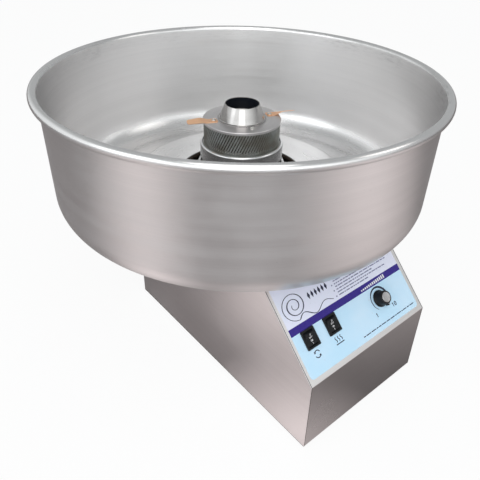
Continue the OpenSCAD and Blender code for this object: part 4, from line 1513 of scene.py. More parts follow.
    def lid(self) -> Piece:
        """The lid: a disc with a lip over the band and a rounded edge."""
        inner, edge = self.funnel_foot - 2, self.band_radius + 0.1
        outer = edge + self.lip_thickness
        round_edge = arc((outer - 1.5, self.lid_top - 1.5), 1.5, 0, 90, 6)
        outline = [(inner, self.band_top), (edge, self.band_top), (edge, self.band_top - self.lip_drop),
                   (outer, self.band_top - self.lip_drop), *round_edge, (inner, self.lid_top)]
        return Shape().lathe(eased(outline, 0.25), 160).piece("lid_disc", Finishes.lid)

    def funnel(self) -> Piece:
        """The funnel, with a flat foot and a plain mouth."""
        rise = self.mouth_top - self.lid_top - 1.7
        lean = degrees(atan2(rise, self.funnel_foot - self.mouth_radius - self.funnel_sheet / 2))
        bends = [
            Bend(self.funnel_flange - self.funnel_foot - 1, -lean, 1.6),
            Bend(rise / sin(radians(lean))),
        ]
        start = (self.funnel_flange, self.lid_top + self.funnel_sheet / 2)
        section = bent_sheet(bends, start, 180, self.funnel_sheet, 8)
        return Shape().lathe(eased(section, 0.4, 4), 128).piece("funnel_cone", Finishes.funnel_steel)

    def lining(self) -> Piece:
        """A near-black film inside the funnel: painted shade in its deep, overhung inside."""
        low, top = self.lid_top + 2.2, self.mouth_top - 1.2
        rise = self.mouth_top - self.lid_top - 1.7
        slant = (self.funnel_foot - self.mouth_radius - self.funnel_sheet / 2) / rise
        half = self.funnel_sheet / 2 * hypot(1, slant)

        def inside(z: float) -> float:
            """Radius of the funnel's inside at a height, less the film's clearance."""
            return self.mouth_radius - half - 0.06 + (self.mouth_top - z) * slant

        outline = [(inside(low) + 0.1, low), (inside(top) + 0.1, top), (inside(top) - 0.1, top),
                   (inside(low) - 0.1, low)]
        return Shape().lathe(outline, 128).piece("funnel_lining", Finishes.painted_funnel_shade)

    def vanes(self) -> Piece:
        """Two sheet vanes, flat under their screws and twisted like propeller blades beyond the lid."""
        stations, strips, corner = 36, 8, 3.0
        root_width, taper, twist_start, twist_end = 17, 7, 0.22, 0.62
        length = self.vane_tip - self.vane_root
        shape = Shape()
        for angle in self.vane_angles:
            rings = []
            for i in range(stations + 1):
                k = i / stations
                r = self.vane_root + length * k
                pitch = radians(self.vane_pitch) * smooth_step(twist_start, twist_end, k)
                width = root_width - taper * k
                half = width / 2
                end = min(r - self.vane_root, self.vane_tip - r)
                if end < corner:
                    half -= corner - sqrt(max(0.0, corner**2 - (corner - end) ** 2))
                lift = sin(pitch) * width / 2 + self.lid_top + self.vane_sheet / 2
                ring = []
                for side in (-1, 1):
                    for j in range(strips + 1):
                        c = (2 * j / strips - 1) * (-side)
                        y = c * half * cos(pitch) + side * self.vane_sheet / 2 * sin(pitch)
                        z = lift - c * half * sin(pitch) + side * self.vane_sheet / 2 * cos(pitch)
                        ring.append((r, y, z))
                rings.append(ring)
            shape.loft(rings, rotated(angle))
        return recalculate_outside(shape.piece("twisted_vanes", Finishes.vane_copper))

    def screws(self) -> Piece:
        """Four pan head screws, two of them on top of the vanes."""
        screw = PanScrew(4, 2.6, 1.7, 12)
        shape = Shape()
        for angles, lift in ((self.plain_angles, 0.0), (self.vane_angles, self.vane_sheet)):
            for angle in angles:
                place = rotated(angle) @ shifted(self.screw_radius, 0, self.lid_top + lift)
                shape.join(screw.shape(), place)
        return shape.piece("lid_screws", Finishes.plated)

    def nut(self) -> Piece:
        """The domed hexagon nut that clamps the head to its shaft."""
        low = self.band_low
        flat = self.nut_corner * cos(pi / 6)
        top = low + self.nut_height
        dome = arc((0, top), self.dome_radius, 2, 90, 12)
        outline = [(0, self.shaft_end), (self.shaft_radius, self.shaft_end), (self.shaft_radius, low),
                   (flat * 0.97, low), (self.nut_corner, low + 1), (self.nut_corner, top - 1),
                   (flat * 0.98, top), *dome[:-1], (0, top + self.dome_radius)]
        shape = Shape().polar(outline, 72, hexagonal(self.nut_corner, flat * 0.99))
        return shape.piece("domed_nut", Finishes.ribbon, 25)


# ---------- between cabinet and head ----------


@dataclass
class BowlSupport:
    """The fixed cone round the slip rings, and the ring with the gasket that the bowl stands on."""

    top: float = cad_high("top_panel").z
    cone_foot: float = 107.0
    cone_flange: float = 9.5
    cone_top_radius: float = 73.0
    cone_top: float = 333.0
    cone_sheet: float = 1.2
    seat_flange: float = 134.5
    seat_radius: float = 124.0
    seat_inner: float = 111.0
    seat_sheet: float = 1.5
    seat_bend: float = 3.0
    gasket_low: float = cad_low("bowl_gasket").z
    gasket_high: float = cad_high("bowl_gasket").z
    gasket_inner: float = 112.0
    gasket_width: float = 10.0

    def build(self) -> None:
        """Makes the cone, the seat and its gasket."""
        fit(self.cone(), Body.CABINET, "polished_metal", "motor_shroud")
        fit(self.seat(), Body.CABINET, "stainless", "bowl_seat")
        fit(self.gasket(), Body.CABINET, "rubber", "bowl_gasket")

    def cone(self) -> Piece:
        """The cone, from its flange up to the lip at its top."""
        rise = self.cone_top - self.top
        lean = degrees(atan2(rise, self.cone_foot - self.cone_top_radius))
        flange, foot_bend, lip_turn, lip_bend, lip, in_bends = 8, 3, 60, 2.5, 1, 6
        side = rise / sin(radians(lean)) - in_bends
        bends = [Bend(flange, -lean, foot_bend), Bend(side, lip_turn, lip_bend), Bend(lip)]
        start = (self.cone_foot + self.cone_flange, self.top + self.cone_sheet / 2)
        section = bent_sheet(bends, start, 180, self.cone_sheet)
        return Shape().lathe(eased(section, 0.4), 160).piece("shroud_cone", Finishes.polished)

    def seat(self) -> Piece:
        """The ring that the bowl stands on."""
        wall = self.seat_radius - self.seat_sheet / 2
        rise = self.gasket_low - self.seat_sheet - self.top
        bends = [
            Bend(self.seat_flange - wall - self.seat_bend, -90, self.seat_bend),
            Bend(rise - 2 * self.seat_bend, 90, self.seat_bend),
            Bend(wall - self.seat_bend - self.seat_inner),
        ]
        section = bent_sheet(bends, (self.seat_flange, self.top + self.seat_sheet / 2), 180, self.seat_sheet)
        return Shape().lathe(eased(section, 0.4), 160).piece("seat_ring", Finishes.polished)

    def gasket(self) -> Piece:
        """The rubber gasket, with a groove along its top."""
        outer = self.gasket_inner + self.gasket_width
        middle = self.gasket_inner + self.gasket_width / 2
        groove = arc((middle, self.gasket_high), 0.9, 0, -180, 6)
        outline = [(self.gasket_inner, self.gasket_low), (outer, self.gasket_low), (outer, self.gasket_high),
                   *groove, (self.gasket_inner, self.gasket_high)]
        return Shape().lathe(eased(outline, 0.3, 2), 128).piece("seat_gasket", Finishes.rubber)


# ---------- cabinet ----------


@dataclass
class Cabinet:
    """The folded cabinet, with its feet, screws and cord gland."""

    sheet: float = 1.2
    top: float = cad_high("top_panel").z
    rear: float = cad_high("rear_panel").y
    tray: float = cad_low("bottom_tray").z
    foot_x: float = 119.0
    foot_y: tuple[float, float] = (-310.0, 128.0)
    foot_radius: float = 12.5
    foot_neck: float = 9.5
    foot_recess: float = 6.0
    rear_screw_x: float = 128.3
    rear_screw_z: Triple = (40.0, 140.0, 235.0)
    shroud_screw_radius: float = 112.0
    seat_screw_radius: float = 129.5
    brush_screws: tuple[float, float] = (60.0, 11.5)
    gland: tuple[float, float] = (-90.0, 45.0)
    gland_bore: float = 4.2
    fold_edge: float = 0.45

    def build(self) -> None:
        """Makes the cabinet's pieces."""
        side, front, tray = Finishes.side_sheet, Finishes.front_sheet, Finishes.tray_sheet
        for node, name, finish in (
            ("left_side_panel", "left_side_sheet", side),
            ("right_side_panel", "right_side_sheet", side),
            ("front_panel", "sloping_front_sheet", front),
            ("top_panel", "top_sheet", front),
            ("rear_panel", "rear_sheet", front),
            ("bottom_tray", "tray_sheet", tray),
        ):
            fit(bevelled_copy(node, name, finish, self.fold_edge), Body.CABINET, "stainless", node)
        for piece, slot, *nodes in (
            (self.feet(), "rubber", "rubber_feet"),
            (self.foot_screws(), "plated_steel", "foot_screws"),
            (self.rear_screws(), "plated_steel", "panel_screws"),
            (self.top_screws(), "plated_steel", "top_screws"),
            (self.cord_gland(), "black_plastic", "cord_gland", "gland_nut"),
            (self.seams(), "stainless"),
        ):
            fit(piece, Body.CABINET, slot, *nodes)

    def foot_places(self) -> list[Triple]:
        """Where the four feet stand."""
        return [(x, y, 0.0) for x in (-self.foot_x, self.foot_x) for y in self.foot_y]

    def feet(self) -> Piece:
        """Four rubber feet: one foot, repeated."""
        shoulder, round_edge = self.tray - 2, 2.0
        rise = arc((self.foot_radius - round_edge, shoulder - round_edge), round_edge, 0, 90, 5)
        outline = [(self.foot_recess, 0), (self.foot_radius - 1, 0), (self.foot_radius, 1), *rise,
                   (self.foot_neck, shoulder), (self.foot_neck, self.tray), (2.6, self.tray), (2.6, 4),
                   (self.foot_recess, 4)]
        foot = Shape().lathe(eased(outline, 0.4), 48).mesh("rubber_feet_moulded")
        return PlacePattern().at(foot, Finishes.rubber, self.foot_places())

    def foot_screws(self) -> Piece:
        """A screw and a nut in each foot."""
        screw = PanScrew(5, 2.6, 2.5, 14).shape(shifted(0, 0, 4) @ rotated(180, "X"))
        screw.join(hex_nut(4.6, 3.6, 2.55), shifted(0, 0, self.tray + self.sheet))
        pair = screw.mesh("foot_fasteners")
        return PlacePattern().at(pair, Finishes.plated, self.foot_places())

    def rear_screws(self) -> Piece:
        """Six pan head screws on the rear panel: one screw, repeated."""
        turned = rotated(-90, "X")
        screw = PanScrew(3.6, 2.2, 1.8, 6).shape(turned).mesh("rear_panel_screws")
        sides = (-self.rear_screw_x, self.rear_screw_x)
        places = [(x, self.rear, z) for x in sides for z in self.rear_screw_z]
        return PlacePattern().at(screw, Finishes.plated, places)

    def top_screws(self) -> Piece:
        """Screws of the bowl seat, the cone and the brush holder."""
        shape = Shape()
        for radius, lift, screw in (
            (self.seat_screw_radius, 1.5, PanScrew(3.2, 2, 1.5, 9)),
            (self.shroud_screw_radius, 1.2, PanScrew(3, 1.8, 1.5, 8)),
        ):
            for angle in (45, 135, 225, 315):
                shape.join(screw.shape(), rotated(angle) @ shifted(radius, 0, self.top + lift))
        x, y = self.brush_screws
        for side in (-1, 1):
            shape.join(PanScrew(2.4, 1.8, 1.5, 10).shape(), shifted(x, side * y, self.top + 4))
        return shape.piece("top_panel_screws", Finishes.plated)

    def cord_gland(self) -> Piece:
        """The gland that a supply lead passes through, with its nut inside."""
        bore = self.gland_bore
        outline = [(bore, -15), (7.4, -15), (8, -14.4), (8, 0), (12, 0), (12, 4), (10.4, 4), (10, 4.6),
                   (7.8, 13.4), (7.2, 14), (bore + 0.6, 14), (bore, 13.4)]

        def gripped(radius: float, height: float, angle: float) -> float:
            """Radius of a point, less the twelve flutes that a hand grips."""
            depth = 0.35 if 4.3 < height < 13.5 and radius > 7.5 else 0.0
            return radius - depth * max(0.0, cos(12 * angle))

        x, z = self.gland
        place = shifted(x, self.rear, z) @ rotated(-90, "X")
        shape = Shape().polar(outline, 96, gripped, place)
        shape.join(hex_nut(12, 5, 8.05), place @ shifted(0, 0, -self.sheet - 5))
        return shape.piece("lead_gland", Finishes.black)

    def seams(self) -> Piece:
        """Painted shade: dark lines in the gaps where the folded front meets the side sheets, and a painted
        contact shadow along the sides' lower edges.
        """
        corner, end = cad_low("left_side_panel"), cad_high("right_side_panel")
        fold, width, half = ControlPanel.fold, 0.9, 0.45
        upright = rotated(90, "X")
        front = shifted(*corner) @ upright
        slope = shifted(corner.x, corner.y, fold) @ rotated(45, "X")
        left = shifted(corner.x, end.y, corner.z) @ rotated(-90) @ upright
        right = shifted(end.x, corner.y, corner.z) @ rotated(90) @ upright
        rise, climb, depth = fold - corner.z, (self.top - fold) * sqrt(2), end.y - corner.y
        near, far = self.sheet + 0.1, end.x - corner.x - self.sheet - 0.1
        shape = Shape()
        for place, length in ((front, rise), (slope, climb)):
            for x in (near, far):
                shape.stroke([(x, 0), (x, length)], width, -0.3, 0.05, place)
        for place in (left, right):
            shape.stroke([(half, half), (depth - half, half)], width, -0.3, 0.05, place)
        return shape.piece("corner_seams", Finishes.seam)


# ---------- control panel ----------


@dataclass
class ControlPanel:
    """The printed film on the slope, two rocker switches and the heat knob."""

    left: float = cad_low("left_side_panel").x
    front: float = cad_low("front_panel").y
    fold: float = 140.0
    film_left: float = 6.5
    film_right: float = 264.6
    film_thickness: float = 0.3
    stripe: tuple[float, float] = (75.8, 87.0)
    switch_u: tuple[float, float] = (35.8, 82.6)
    switch_v: float = 61.1
    rocker_pivot: float = -3.0
    rocker_tilt: float = 9.0
    rocker_crest: float = 5.4
    knob_u: float = 192.9
    knob_v: float = 53.4
    knob_radius: float = 13.9
    knob_low: float = 0.9
    knob_high: float = 16.5
    cap_radius: float = 8.3
    pointer: float = -60.0
    ink: float = 0.07
    film_edge: float = 0.1
    bezel_edge: float = 0.3
    rocker_edge: float = 0.5

    def on_slope(self, u: float, v: float, h: float = 0.0) -> Matrix:
        """Turns flat points into place on the slope.

        Args:
            u: Distance from the cabinet's left side.
            v: Distance up the slope from its fold.
            h: Height above the slope's sheet.
        """
        slope = shifted(self.left, self.front, self.fold) @ rotated(45, "X")
        return slope @ shifted(u, v, h)

    def build(self) -> None:
        """Makes the panel's pieces."""
        film = bevelled_copy("control_label", "panel_film_sheet", Finishes.film, self.film_edge)
        fit(film, Body.CABINET, "panel_film", "control_label")
        for ink in (self.violet_print(), self.white_print(), self.navy_print(), self.grey_print()):
            fit(ink, Body.CABINET, "panel_film")
        black = Finishes.black
        for name in ("motor_switch", "heat_switch"):
            node = f"{name}_housing"
            bezel = bevelled_copy(node, f"{name}_bezel", black, self.bezel_edge)
            fit(bezel, Body.CABINET, "black_plastic", node)
        for body, u in zip((Body.MOTOR_ROCKER, Body.HEAT_ROCKER), self.switch_u):
            node = body.value
            fit(bevelled_copy(node, f"{node}_cap", black, self.rocker_edge), body, "black_plastic", node)
            fit(self.rocker_marks(f"{node}_marks", u), body, "black_plastic")
        fit(self.knob(), Body.HEAT_KNOB, "black_plastic", "heat_knob")
        fit(self.knob_line(), Body.HEAT_KNOB, "black_plastic")
        fit(self.knob_cap(), Body.HEAT_KNOB, "polished_metal", "knob_cap")

    def print_line(self, shape: Shape, path: Sequence[Point], width: float | Sequence[float],
                   closed: bool = False, layer: int = 0) -> None:
        """Adds a printed line to a shape.

        Args:
            shape: The shape of one ink.
            path: Points across and up the slope.
            width: Width of the line, or one width for each point.
            closed: Whether the line ends where it starts.
            layer: Which layer of ink it lies on, so that no two inks share a surface.
        """
        low = self.film_thickness - 0.03
        high = self.film_thickness + self.ink * (1 + 0.5 * layer)
        shape.stroke(path, width, low, high, self.on_slope(0, 0), closed)

    def violet_print(self) -> Piece:
        """The stripe across the film."""
        shape = Shape()
        middle, edge = sum(self.stripe) / 2, 0.15
        path = [(self.film_left + edge, middle), (self.film_right - edge, middle)]
        self.print_line(shape, path, self.stripe[1] - self.stripe[0])
        return shape.piece("violet_print", Finishes.violet_ink)

    def white_print(self) -> Piece:
        """Rising bars on the stripe, over the knob."""
        shape = Shape()
        low = self.stripe[0] + 2.4
        bars, first, pitch, width, shortest, growth = 13, 166, 4.7, 3.1, 2.2, 0.36
        for k in range(bars):
            u = first + pitch * k
            self.print_line(shape, [(u, low), (u, low + shortest + growth * k)], width, layer=1)
        return shape.piece("white_print", Finishes.white_ink)

    def navy_print(self) -> Piece:
        """Scale round the knob, signs under the switches, and a drawing of a curl of spun floss."""
        shape = Shape()
        start, end, steps, inner, thinnest, growth = 232.0, -15.0, 60, 17.6, 0.8, 3.6
        path, widths = [], []
        for k in range(steps + 1):
            a = radians(start + (end - start) * k / steps)
            width = thinnest + growth * k / steps
            reach = inner + width / 2
            path.append((self.knob_u + reach * cos(a), self.knob_v + reach * sin(a)))
            widths.append(width)
        self.print_line(shape, path, widths)
        for number, u, v in (("1", 173, 33), ("10", 217, 33)):
            self.letters(shape, number, u, v, 6.8, 1.4)
        self.turning_sign(shape, self.switch_u[0], 36)
        self.heat_sign(shape, self.switch_u[1], 36)
        self.dashes(shape, 128, 258, 16.4, 1.5, 3)
        self.floss(shape)
        return shape.piece("navy_print", Finishes.navy_ink)

    def turning_sign(self, shape: Shape, u: float, v: float) -> None:
        """Two arrows round a ring, for the motor's switch.

        Args:
            shape: The shape of one ink.
            u: Middle of the sign across the slope.
            v: Its middle up the slope.
        """
        size, sweep, line, head = 5.4, 120, 1.5, 4.6
        for start in (20, 200):
            angles = [radians(a) for a in range(start, start + sweep + 1, 10)]
            self.print_line(shape, [(u + size * cos(a), v + size * sin(a)) for a in angles], line)
            a = radians(start + sweep + 6)
            ends = [(u + size * cos(b), v + size * sin(b)) for b in (a - 0.25, a + 0.3)]
            self.print_line(shape, ends, [head, 0.3])

    def heat_sign(self, shape: Shape, u: float, v: float) -> None:
        """Three waves over a line, for the heat's switch.

        Args:
            shape: The shape of one ink.
            u: Middle of the sign across the slope.
            v: Its middle up the slope.
        """
        steps, sway, foot, rise = 12, 1.2, 2.6, 8.2
        for aside in (-5.5, 0, 5.5):
            wave = [(u + aside + sway * sin(k / steps * 2 * pi), v - foot + rise * k / steps)
                    for k in range(steps + 1)]
            self.print_line(shape, wave, 1.4)
        self.print_line(shape, [(u - 8.5, v - 5.4), (u + 8.5, v - 5.4)], 1.5)

    def floss(self, shape: Shape) -> None:
        """A curl of spun floss with a waving tail, and a row of diamonds over the tail.

        Args:
            shape: The shape of one ink.
        """
        u, v, turns, oval, thinnest = 35.0, 113.5, 2.35, 1.12, 0.9
        steps, inner, growth = 96, 3.5, 18.5
        curl, widths = [], []
        for k in range(steps + 1):
            t = k / steps
            a = radians(-90) - 2 * pi * turns * (1 - t)
            reach = inner + growth * t
            curl.append((u + oval * reach * cos(a), v + reach * sin(a)))
            widths.append(thinnest + 1.3 * sin(pi * t) * (0.6 + 0.4 * cos(2 * a)))
        tail_steps, tail, drop, sway, waves = 48, 73, 22, 6.5, 3.2
        for k in range(1, tail_steps + 1):
            t = k / tail_steps
            curl.append((u + tail * t, v - drop + sway * sin(waves * pi * t) * (1 - 0.5 * t) + 3 * t))
            widths.append(thinnest + 0.9 * abs(cos(waves * pi * t)) * (1 - t))
        self.print_line(shape, curl, widths)
        diamonds, first, pitch, middle, half, width = 6, 67, 7.4, 116, 5.5, 5.4
        for k in range(diamonds):
            across = first + pitch * k
            points = [(across, middle - half), (across, middle), (across, middle + half)]
            self.print_line(shape, points, [0.3, width, 0.3])

    def dashes(self, shape: Shape, start: float, end: float, v: float, width: float, seed: int) -> None:
        """A row of short and long dashes, as a broken line.

        Args:
            shape: The shape of one ink.
            start: Where the row starts, across the slope.
            end: Where it ends.
            v: Its height up the slope.
            width: Width of the line.
            seed: Picks the lengths of the dashes.
        """
        pick, u, gap = random.Random(seed), start, 1.5
        while u < end - gap:
            stop = min(end, u + pick.choice((3.0, 4.5, 6.0, 8.5, 11.0)))
            self.print_line(shape, [(u, v), (stop, v)], width)
            u = stop + gap

    def grey_print(self) -> Piece:
        """Broken lines with bullets at the top right of the film."""
        shape = Shape()
        top, pitch, left, line, bullet, bullet_left = 120.5, 4.6, 121, 1.7, 2.2, 114.5
        for row, length in enumerate((96, 118, 110, 124, 88, 116, 72)):
            v = top - pitch * row
            self.dashes(shape, left, left + length, v, line, row)
            if row % 2 == 0:
                self.print_line(shape, [(bullet_left, v), (bullet_left + bullet, v)], bullet)
        return shape.piece("grey_print", Finishes.grey_ink)

    def letters(self, shape: Shape, text: str, u: float, v: float, height: float, width: float,
                place: Matrix | None = None) -> None:
        """Adds plain single-stroke letters or numbers, centred on a point.

        Args:
            shape: The shape that they join.
            text: Letters out of O, N, F, I, 0 and 1.
            u: Middle of the word across.
            v: Middle of the word upwards.
            height: Height of a letter.
            width: Width of its stroke.
            place: Plane of the word, or None for the film.
        """
        ring = [(0.5 + 0.32 * cos(radians(a)), 0.5 + 0.46 * sin(radians(a))) for a in range(0, 360, 24)]
        bar = [(0.5, 0), (0.5, 1)]
        forms: dict[str, list[list[Point]]] = {
            "O": [ring], "0": [ring], "I": [bar], "1": [bar, [(0.5, 0.98), (0.25, 0.72)]],
            "N": [[(0.2, 0), (0.2, 1)], [(0.2, 0.98), (0.8, 0.02)], [(0.8, 0), (0.8, 1)]],
            "F": [[(0.25, 0), (0.25, 1)], [(0.25, 0.94), (0.8, 0.94)], [(0.25, 0.52), (0.7, 0.52)]],
        }
        pitch = height * 0.82
        for i, letter in enumerate(text):
            left = u + (i - len(text) / 2) * pitch
            for path in forms[letter]:
                moved = [(left + x * pitch, v + (y - 0.5) * height) for x, y in path]
                if place is None:
                    self.print_line(shape, moved, width, path is ring)
                else:
                    shape.stroke(moved, width, -0.02, 0.06, place, path is ring)

    def rocker_marks(self, name: str, u: float) -> Piece:
        """White words and signs on the two faces of a rocker.

        Args:
            name: Name of the piece.
            u: Middle of the rocker across the slope.

        Returns:
            The piece.
        """
        shape = Shape()
        rocker = self.on_slope(u, self.switch_v, self.rocker_pivot) @ rotated(self.rocker_tilt, "X")
        crest = rocker @ shifted(0, 0, self.rocker_crest)
        upper = crest @ rotated(self.rocker_tilt, "X")
        lower = crest @ rotated(-self.rocker_tilt, "X")
        self.letters(shape, "OFF", 0, 2.4, 2.6, 0.5, upper)
        self.letters(shape, "O", 0, 6.6, 3, 0.5, upper)
        self.letters(shape, "ON", 0, -2.6, 2.6, 0.5, lower)
        self.letters(shape, "I", 0, -6.8, 3, 0.6, lower)
        return shape.piece(name, Finishes.white_ink)

    def knob(self) -> Piece:
        """The black knob: a skirt with a nib, and a tapered grip hollowed for its cap."""
        skirt, low, high = self.knob_radius, self.knob_low, self.knob_high
        rim = self.cap_radius + 0.05
        bore, hollow, ceiling = 3.05, 8, 5.5
        outline = [(bore, low + 12.4), (bore, ceiling), (hollow, ceiling), (hollow, low), (skirt - 0.4, low),
                   (skirt, low + 0.4), (skirt, 2.4), (skirt - 0.3, 2.9), (skirt - 1, 3.8), (12.2, 4.5),
                   (11.8, 5.4), (11.6, 6.6), (10.85, high - 1.2), (10.5, high - 0.3), (10, high),
                   (rim + 0.2, high), (rim, high - 0.2), (rim, high - 1), (bore, high - 1)]
        place = self.on_slope(self.knob_u, self.knob_v)
        shape = Shape().lathe(outline, 96, place)
        nib = [(9, -2.6), (16, -2.6), *arc((16, 0), 2.6, -75, 75, 8), (16, 2.6), (9, 2.6)]
        turned = place @ rotated(self.pointer)
        shape.slab(nib, low, low + 6, turned, 0.5)
        return shape.piece("heat_knob_grip", Finishes.black)

    def knob_line(self) -> Piece:
        """The white line on the nib."""
        turned = self.on_slope(self.knob_u, self.knob_v) @ rotated(self.pointer)
        top = self.knob_low + 6
        shape = Shape().stroke([(12.4, 0), (18, 0)], 0.9, top - 0.1, top + 0.05, turned)
        return shape.piece("knob_pointer_line", Finishes.white_ink)

    def knob_cap(self) -> Piece:
        """The dished metal cap in the top of the knob."""
        low, radius, thickness, dish = self.knob_high - 1, self.cap_radius, 1.5, 0.4
        bowl = [(radius * (1 - k / 8), thickness - dish * (1 - (1 - k / 8) ** 2)) for k in range(1, 9)]
        outline = [(0, 0), (radius, 0), (radius, thickness - 0.3), (radius - 0.3, thickness), *bowl]
        place = self.on_slope(self.knob_u, self.knob_v, low)
        centre = place @ Vector((0, 0, 0))
        finish = TurnedMetal(
            "knob cap", (0.58, 0.57, 0.57), (0.22, 0.22, 0.22), 0.2, 0.1, 0.01,
            spacing=2600.0, drawn=0.75, centre=tuple(centre), tilt=45.0,
        )
        return Shape().lathe(outline, 96, place).piece("knob_cap_disc", finish)


# ---------- works inside ----------


class InnerWorks:
    """The CAD nodes that stay: the motor, its controls and its wiring, out of sight."""

    def build(self) -> None:
        """Gives each node that stays its finish."""
        dressed: tuple[tuple[Finish, tuple[str, ...]], ...] = (
            (Finishes.plated, ("motor_plate_screws", "motor_tie_rods", "motor_plate", "heat_control_nut",
                               "heat_control_shaft", "knob_set_screw", "motor_shaft", "upper_bearing",
                               "lower_bearing", "head_base", "brush_springs")),
            (Finishes.rubber, ("motor_isolators",)),
            (Finishes.black, ("cooling_fan",)),
            (Finishes.brass, ("switch_terminals", "slip_rings")),
            (Finishes.control_casting, ("heat_control_body",)),
            (Finishes.motor_paint, ("motor_case",)),
            (Finishes.motor_casting, ("motor_upper_bell", "motor_lower_bell")),
            (Finishes.core_steel, ("stator_core", "motor_rotor")),
            (Finishes.windings, ("field_coils",)),
            (Finishes.phenolic, ("brush_holder", "slip_ring_hub")),
            (Finishes.carbon, ("carbon_brushes",)),
            (Finishes.white, ("terminal_block",)),
            (Finishes.wire_cover, ("wiring_harness",)),
            (Finishes.ceramic, ("element_insulators",)),
        )
        for finish, nodes in dressed:
            for node in nodes:
                self.dress(node, finish.material())

    def dress(self, node: str, material: bpy.types.Material) -> None:
        """Puts a material in every slot of a CAD node."""
        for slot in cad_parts[node].material_slots:
            slot.material = material
        LOG.info("%s keeps its CAD shape in %s", node, material.name)


# ---------- studio ----------


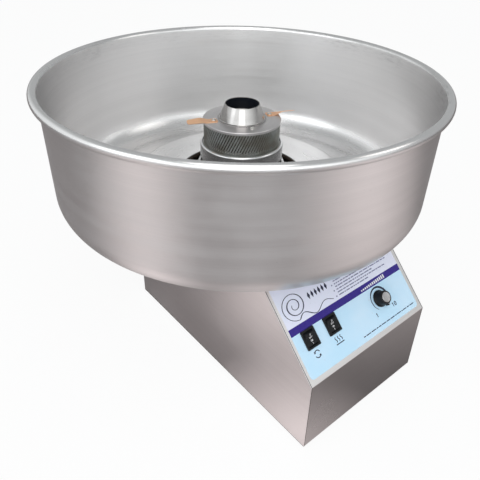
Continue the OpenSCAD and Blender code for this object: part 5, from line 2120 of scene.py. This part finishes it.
@dataclass
class Studio:
    """Camera, floor, sky and lamps.

    Attributes:
        position: Place of the camera, in millimetres, with its right, up and forward directions.
        painted_light_pools: Painted pools of light on the floor, which only reflections in metal see:
        across, along and spread in metres, and a share of white.
    """

    position: Triple = (-540.49, -642.97, 749.98)
    right: Triple = (0.767882, -0.640142, 0.023981)
    up: Triple = (0.327552, 0.424537, 0.844084)
    forward: Triple = (0.550515, 0.640302, -0.535674)
    lens: float = 39.41
    sensor: float = 36.0
    shift: tuple[float, float] = (-0.0100, -0.0544)
    painted_light_pools: tuple[tuple[float, float, float, float], ...] = (
        (-0.17, -0.31, 0.2, 0.55),
        (-0.44, -0.07, 0.24, 0.9),
        (-1.15, -0.02, 0.6, 0.95),
        (0.5, -1.1, 0.85, 0.95),
    )

    def build(self) -> None:
        """Makes the studio."""
        bpy.context.scene.view_settings.view_transform = "Standard"
        self.camera()
        self.floor()
        self.sky()
        self.lamps()

    def camera(self) -> None:
        """The camera, looking down over the front left corner."""
        data = bpy.data.cameras.new("camera")
        data.lens = self.lens
        data.sensor_width = self.sensor
        data.clip_start = 0.01
        data.shift_x, data.shift_y = self.shift
        made = linked("camera", data)
        away = -Vector(self.forward)
        turned = Matrix((self.right, self.up, away)).transposed().to_4x4()
        made.matrix_world = Matrix.Translation(Vector(self.position) * MM) @ turned
        bpy.context.scene.camera = made

    def floor(self) -> None:
        """A wide white floor that still keeps a soft shadow, with painted pools of light that only
        reflections see.
        """
        size = 12.0
        data = bpy.data.meshes.new("floor")
        corners = [(-size, -size, 0), (size, -size, 0), (size, size, 0), (-size, size, 0)]
        data.from_pydata(corners, [], [range(4)])
        made = linked("floor", data)
        material = bpy.data.materials.new("floor")
        material.use_nodes = True
        material.node_tree.nodes.clear()
        wiring = Wiring(material.node_tree)
        path = wiring.node("ShaderNodeLightPath").outputs
        seen = wiring.sum("MAXIMUM", path["Is Camera Ray"], path["Is Transmission Ray"])
        colour = wiring.blend(seen, (0.27, 0.24, 0.237), (0.9, 0.9, 0.9))
        matte = wiring.node("ShaderNodeBsdfDiffuse", {"Color": colour}).outputs["BSDF"]
        # Reflections see the floor's glow brighter and warmer than white: part of the painted pools of light.
        shine = wiring.blend(path["Is Glossy Ray"], (1.0, 1.0, 1.0), (1.4, 1.255, 1.24))
        glow = wiring.node("ShaderNodeEmission", {"Color": shine, "Strength": 1.0}).outputs[0]
        where: object = wiring.place()
        painted_light_pools: object = 0.0
        for across, along, spread, white in self.painted_light_pools:
            away = wiring.vector("DISTANCE", where, (across, along, 0.0))
            painted_light_pools = wiring.sum("ADD", painted_light_pools, wiring.ranged(away, 0.0, spread, white, 0.0))
        mirrored = wiring.product(path["Is Glossy Ray"], wiring.sum("MINIMUM", painted_light_pools, 1.0))
        share = wiring.sum("MAXIMUM", wiring.product(seen, 0.9), mirrored)
        mixed = wiring.node("ShaderNodeMixShader", {0: share, 1: matte, 2: glow}).outputs[0]
        wiring.node("ShaderNodeOutputMaterial", {"Surface": mixed})
        data.materials.append(material)

    def sky(self) -> None:
        """A white sky for the camera; for metal and light, one that is darker overhead, right and behind."""
        world = bpy.data.worlds.new("studio sky")
        bpy.context.scene.world = world
        world.use_nodes = True
        world.node_tree.nodes.clear()
        wiring = Wiring(world.node_tree)
        way = wiring.node("ShaderNodeTexCoord").outputs["Generated"]
        ways = wiring.parts(way)
        rising = wiring.ranged(ways["Z"], 0.5, 1.0, 1.74, 0.27)
        rightward = wiring.ranged(ways["X"], -0.2, 0.9, 0.0, 1.3)
        darker = wiring.sum("ADD", rightward, wiring.ranged(ways["Y"], -0.2, 0.9, 0.0, 0.8))
        graded = wiring.sum("MAXIMUM", wiring.sum("SUBTRACT", rising, darker), 0.5)
        path = wiring.node("ShaderNodeLightPath").outputs
        strength = wiring.node("ShaderNodeMix", {"Factor": path["Is Camera Ray"], "A": graded, "B": 1.0})
        tint = wiring.blend(path["Is Camera Ray"], (0.955, 0.985, 0.995), (1.0, 1.0, 1.0))
        back = wiring.node("ShaderNodeBackground", {"Color": tint, "Strength": strength.outputs[0]})
        wiring.node("ShaderNodeOutputWorld", {"Surface": back.outputs["Background"]})

    def lamps(self) -> None:
        """Softboxes on the right, on the left, over the camera and overhead."""
        for name, azimuth, height, size, power, colour in (
            ("right softbox", 316, 42, 0.9, 2.5, (1.0, 0.975, 0.95)),
            ("left softbox", 172, 35, 1.2, 3.0, (0.94, 0.97, 1.0)),
            ("front softbox", 230, 30, 1.2, 3.6, (1.0, 1.0, 1.0)),
            ("top softbox", 230, 70, 1.4, 8.0, (1.0, 1.0, 1.0)),
        ):
            turn, lift = radians(azimuth), radians(height)
            away = Vector((cos(turn) * cos(lift), sin(turn) * cos(lift), sin(lift)))
            aim = -away
            place = Vector((0, 0, 0.3)) + away * 2.2
            data = bpy.data.lights.new(name, "AREA")
            data.shape = "DISK"
            data.size = size
            data.energy = power
            data.color = colour
            made = linked(name, data)
            facing = aim.to_track_quat("-Z", "Y").to_matrix().to_4x4()
            made.matrix_world = Matrix.Translation(place) @ facing


# ---------- the whole ----------


def main() -> None:
    """Builds the machine from the outside in, then the studio round it."""
    logging.basicConfig(level=logging.INFO, format="%(message)s")
    Studio().build()
    Cabinet().build()
    ControlPanel().build()
    BowlSupport().build()
    SpinningHead().build()
    SpunBowl().build()
    InnerWorks().build()


if __name__ == "__main__":
    main()
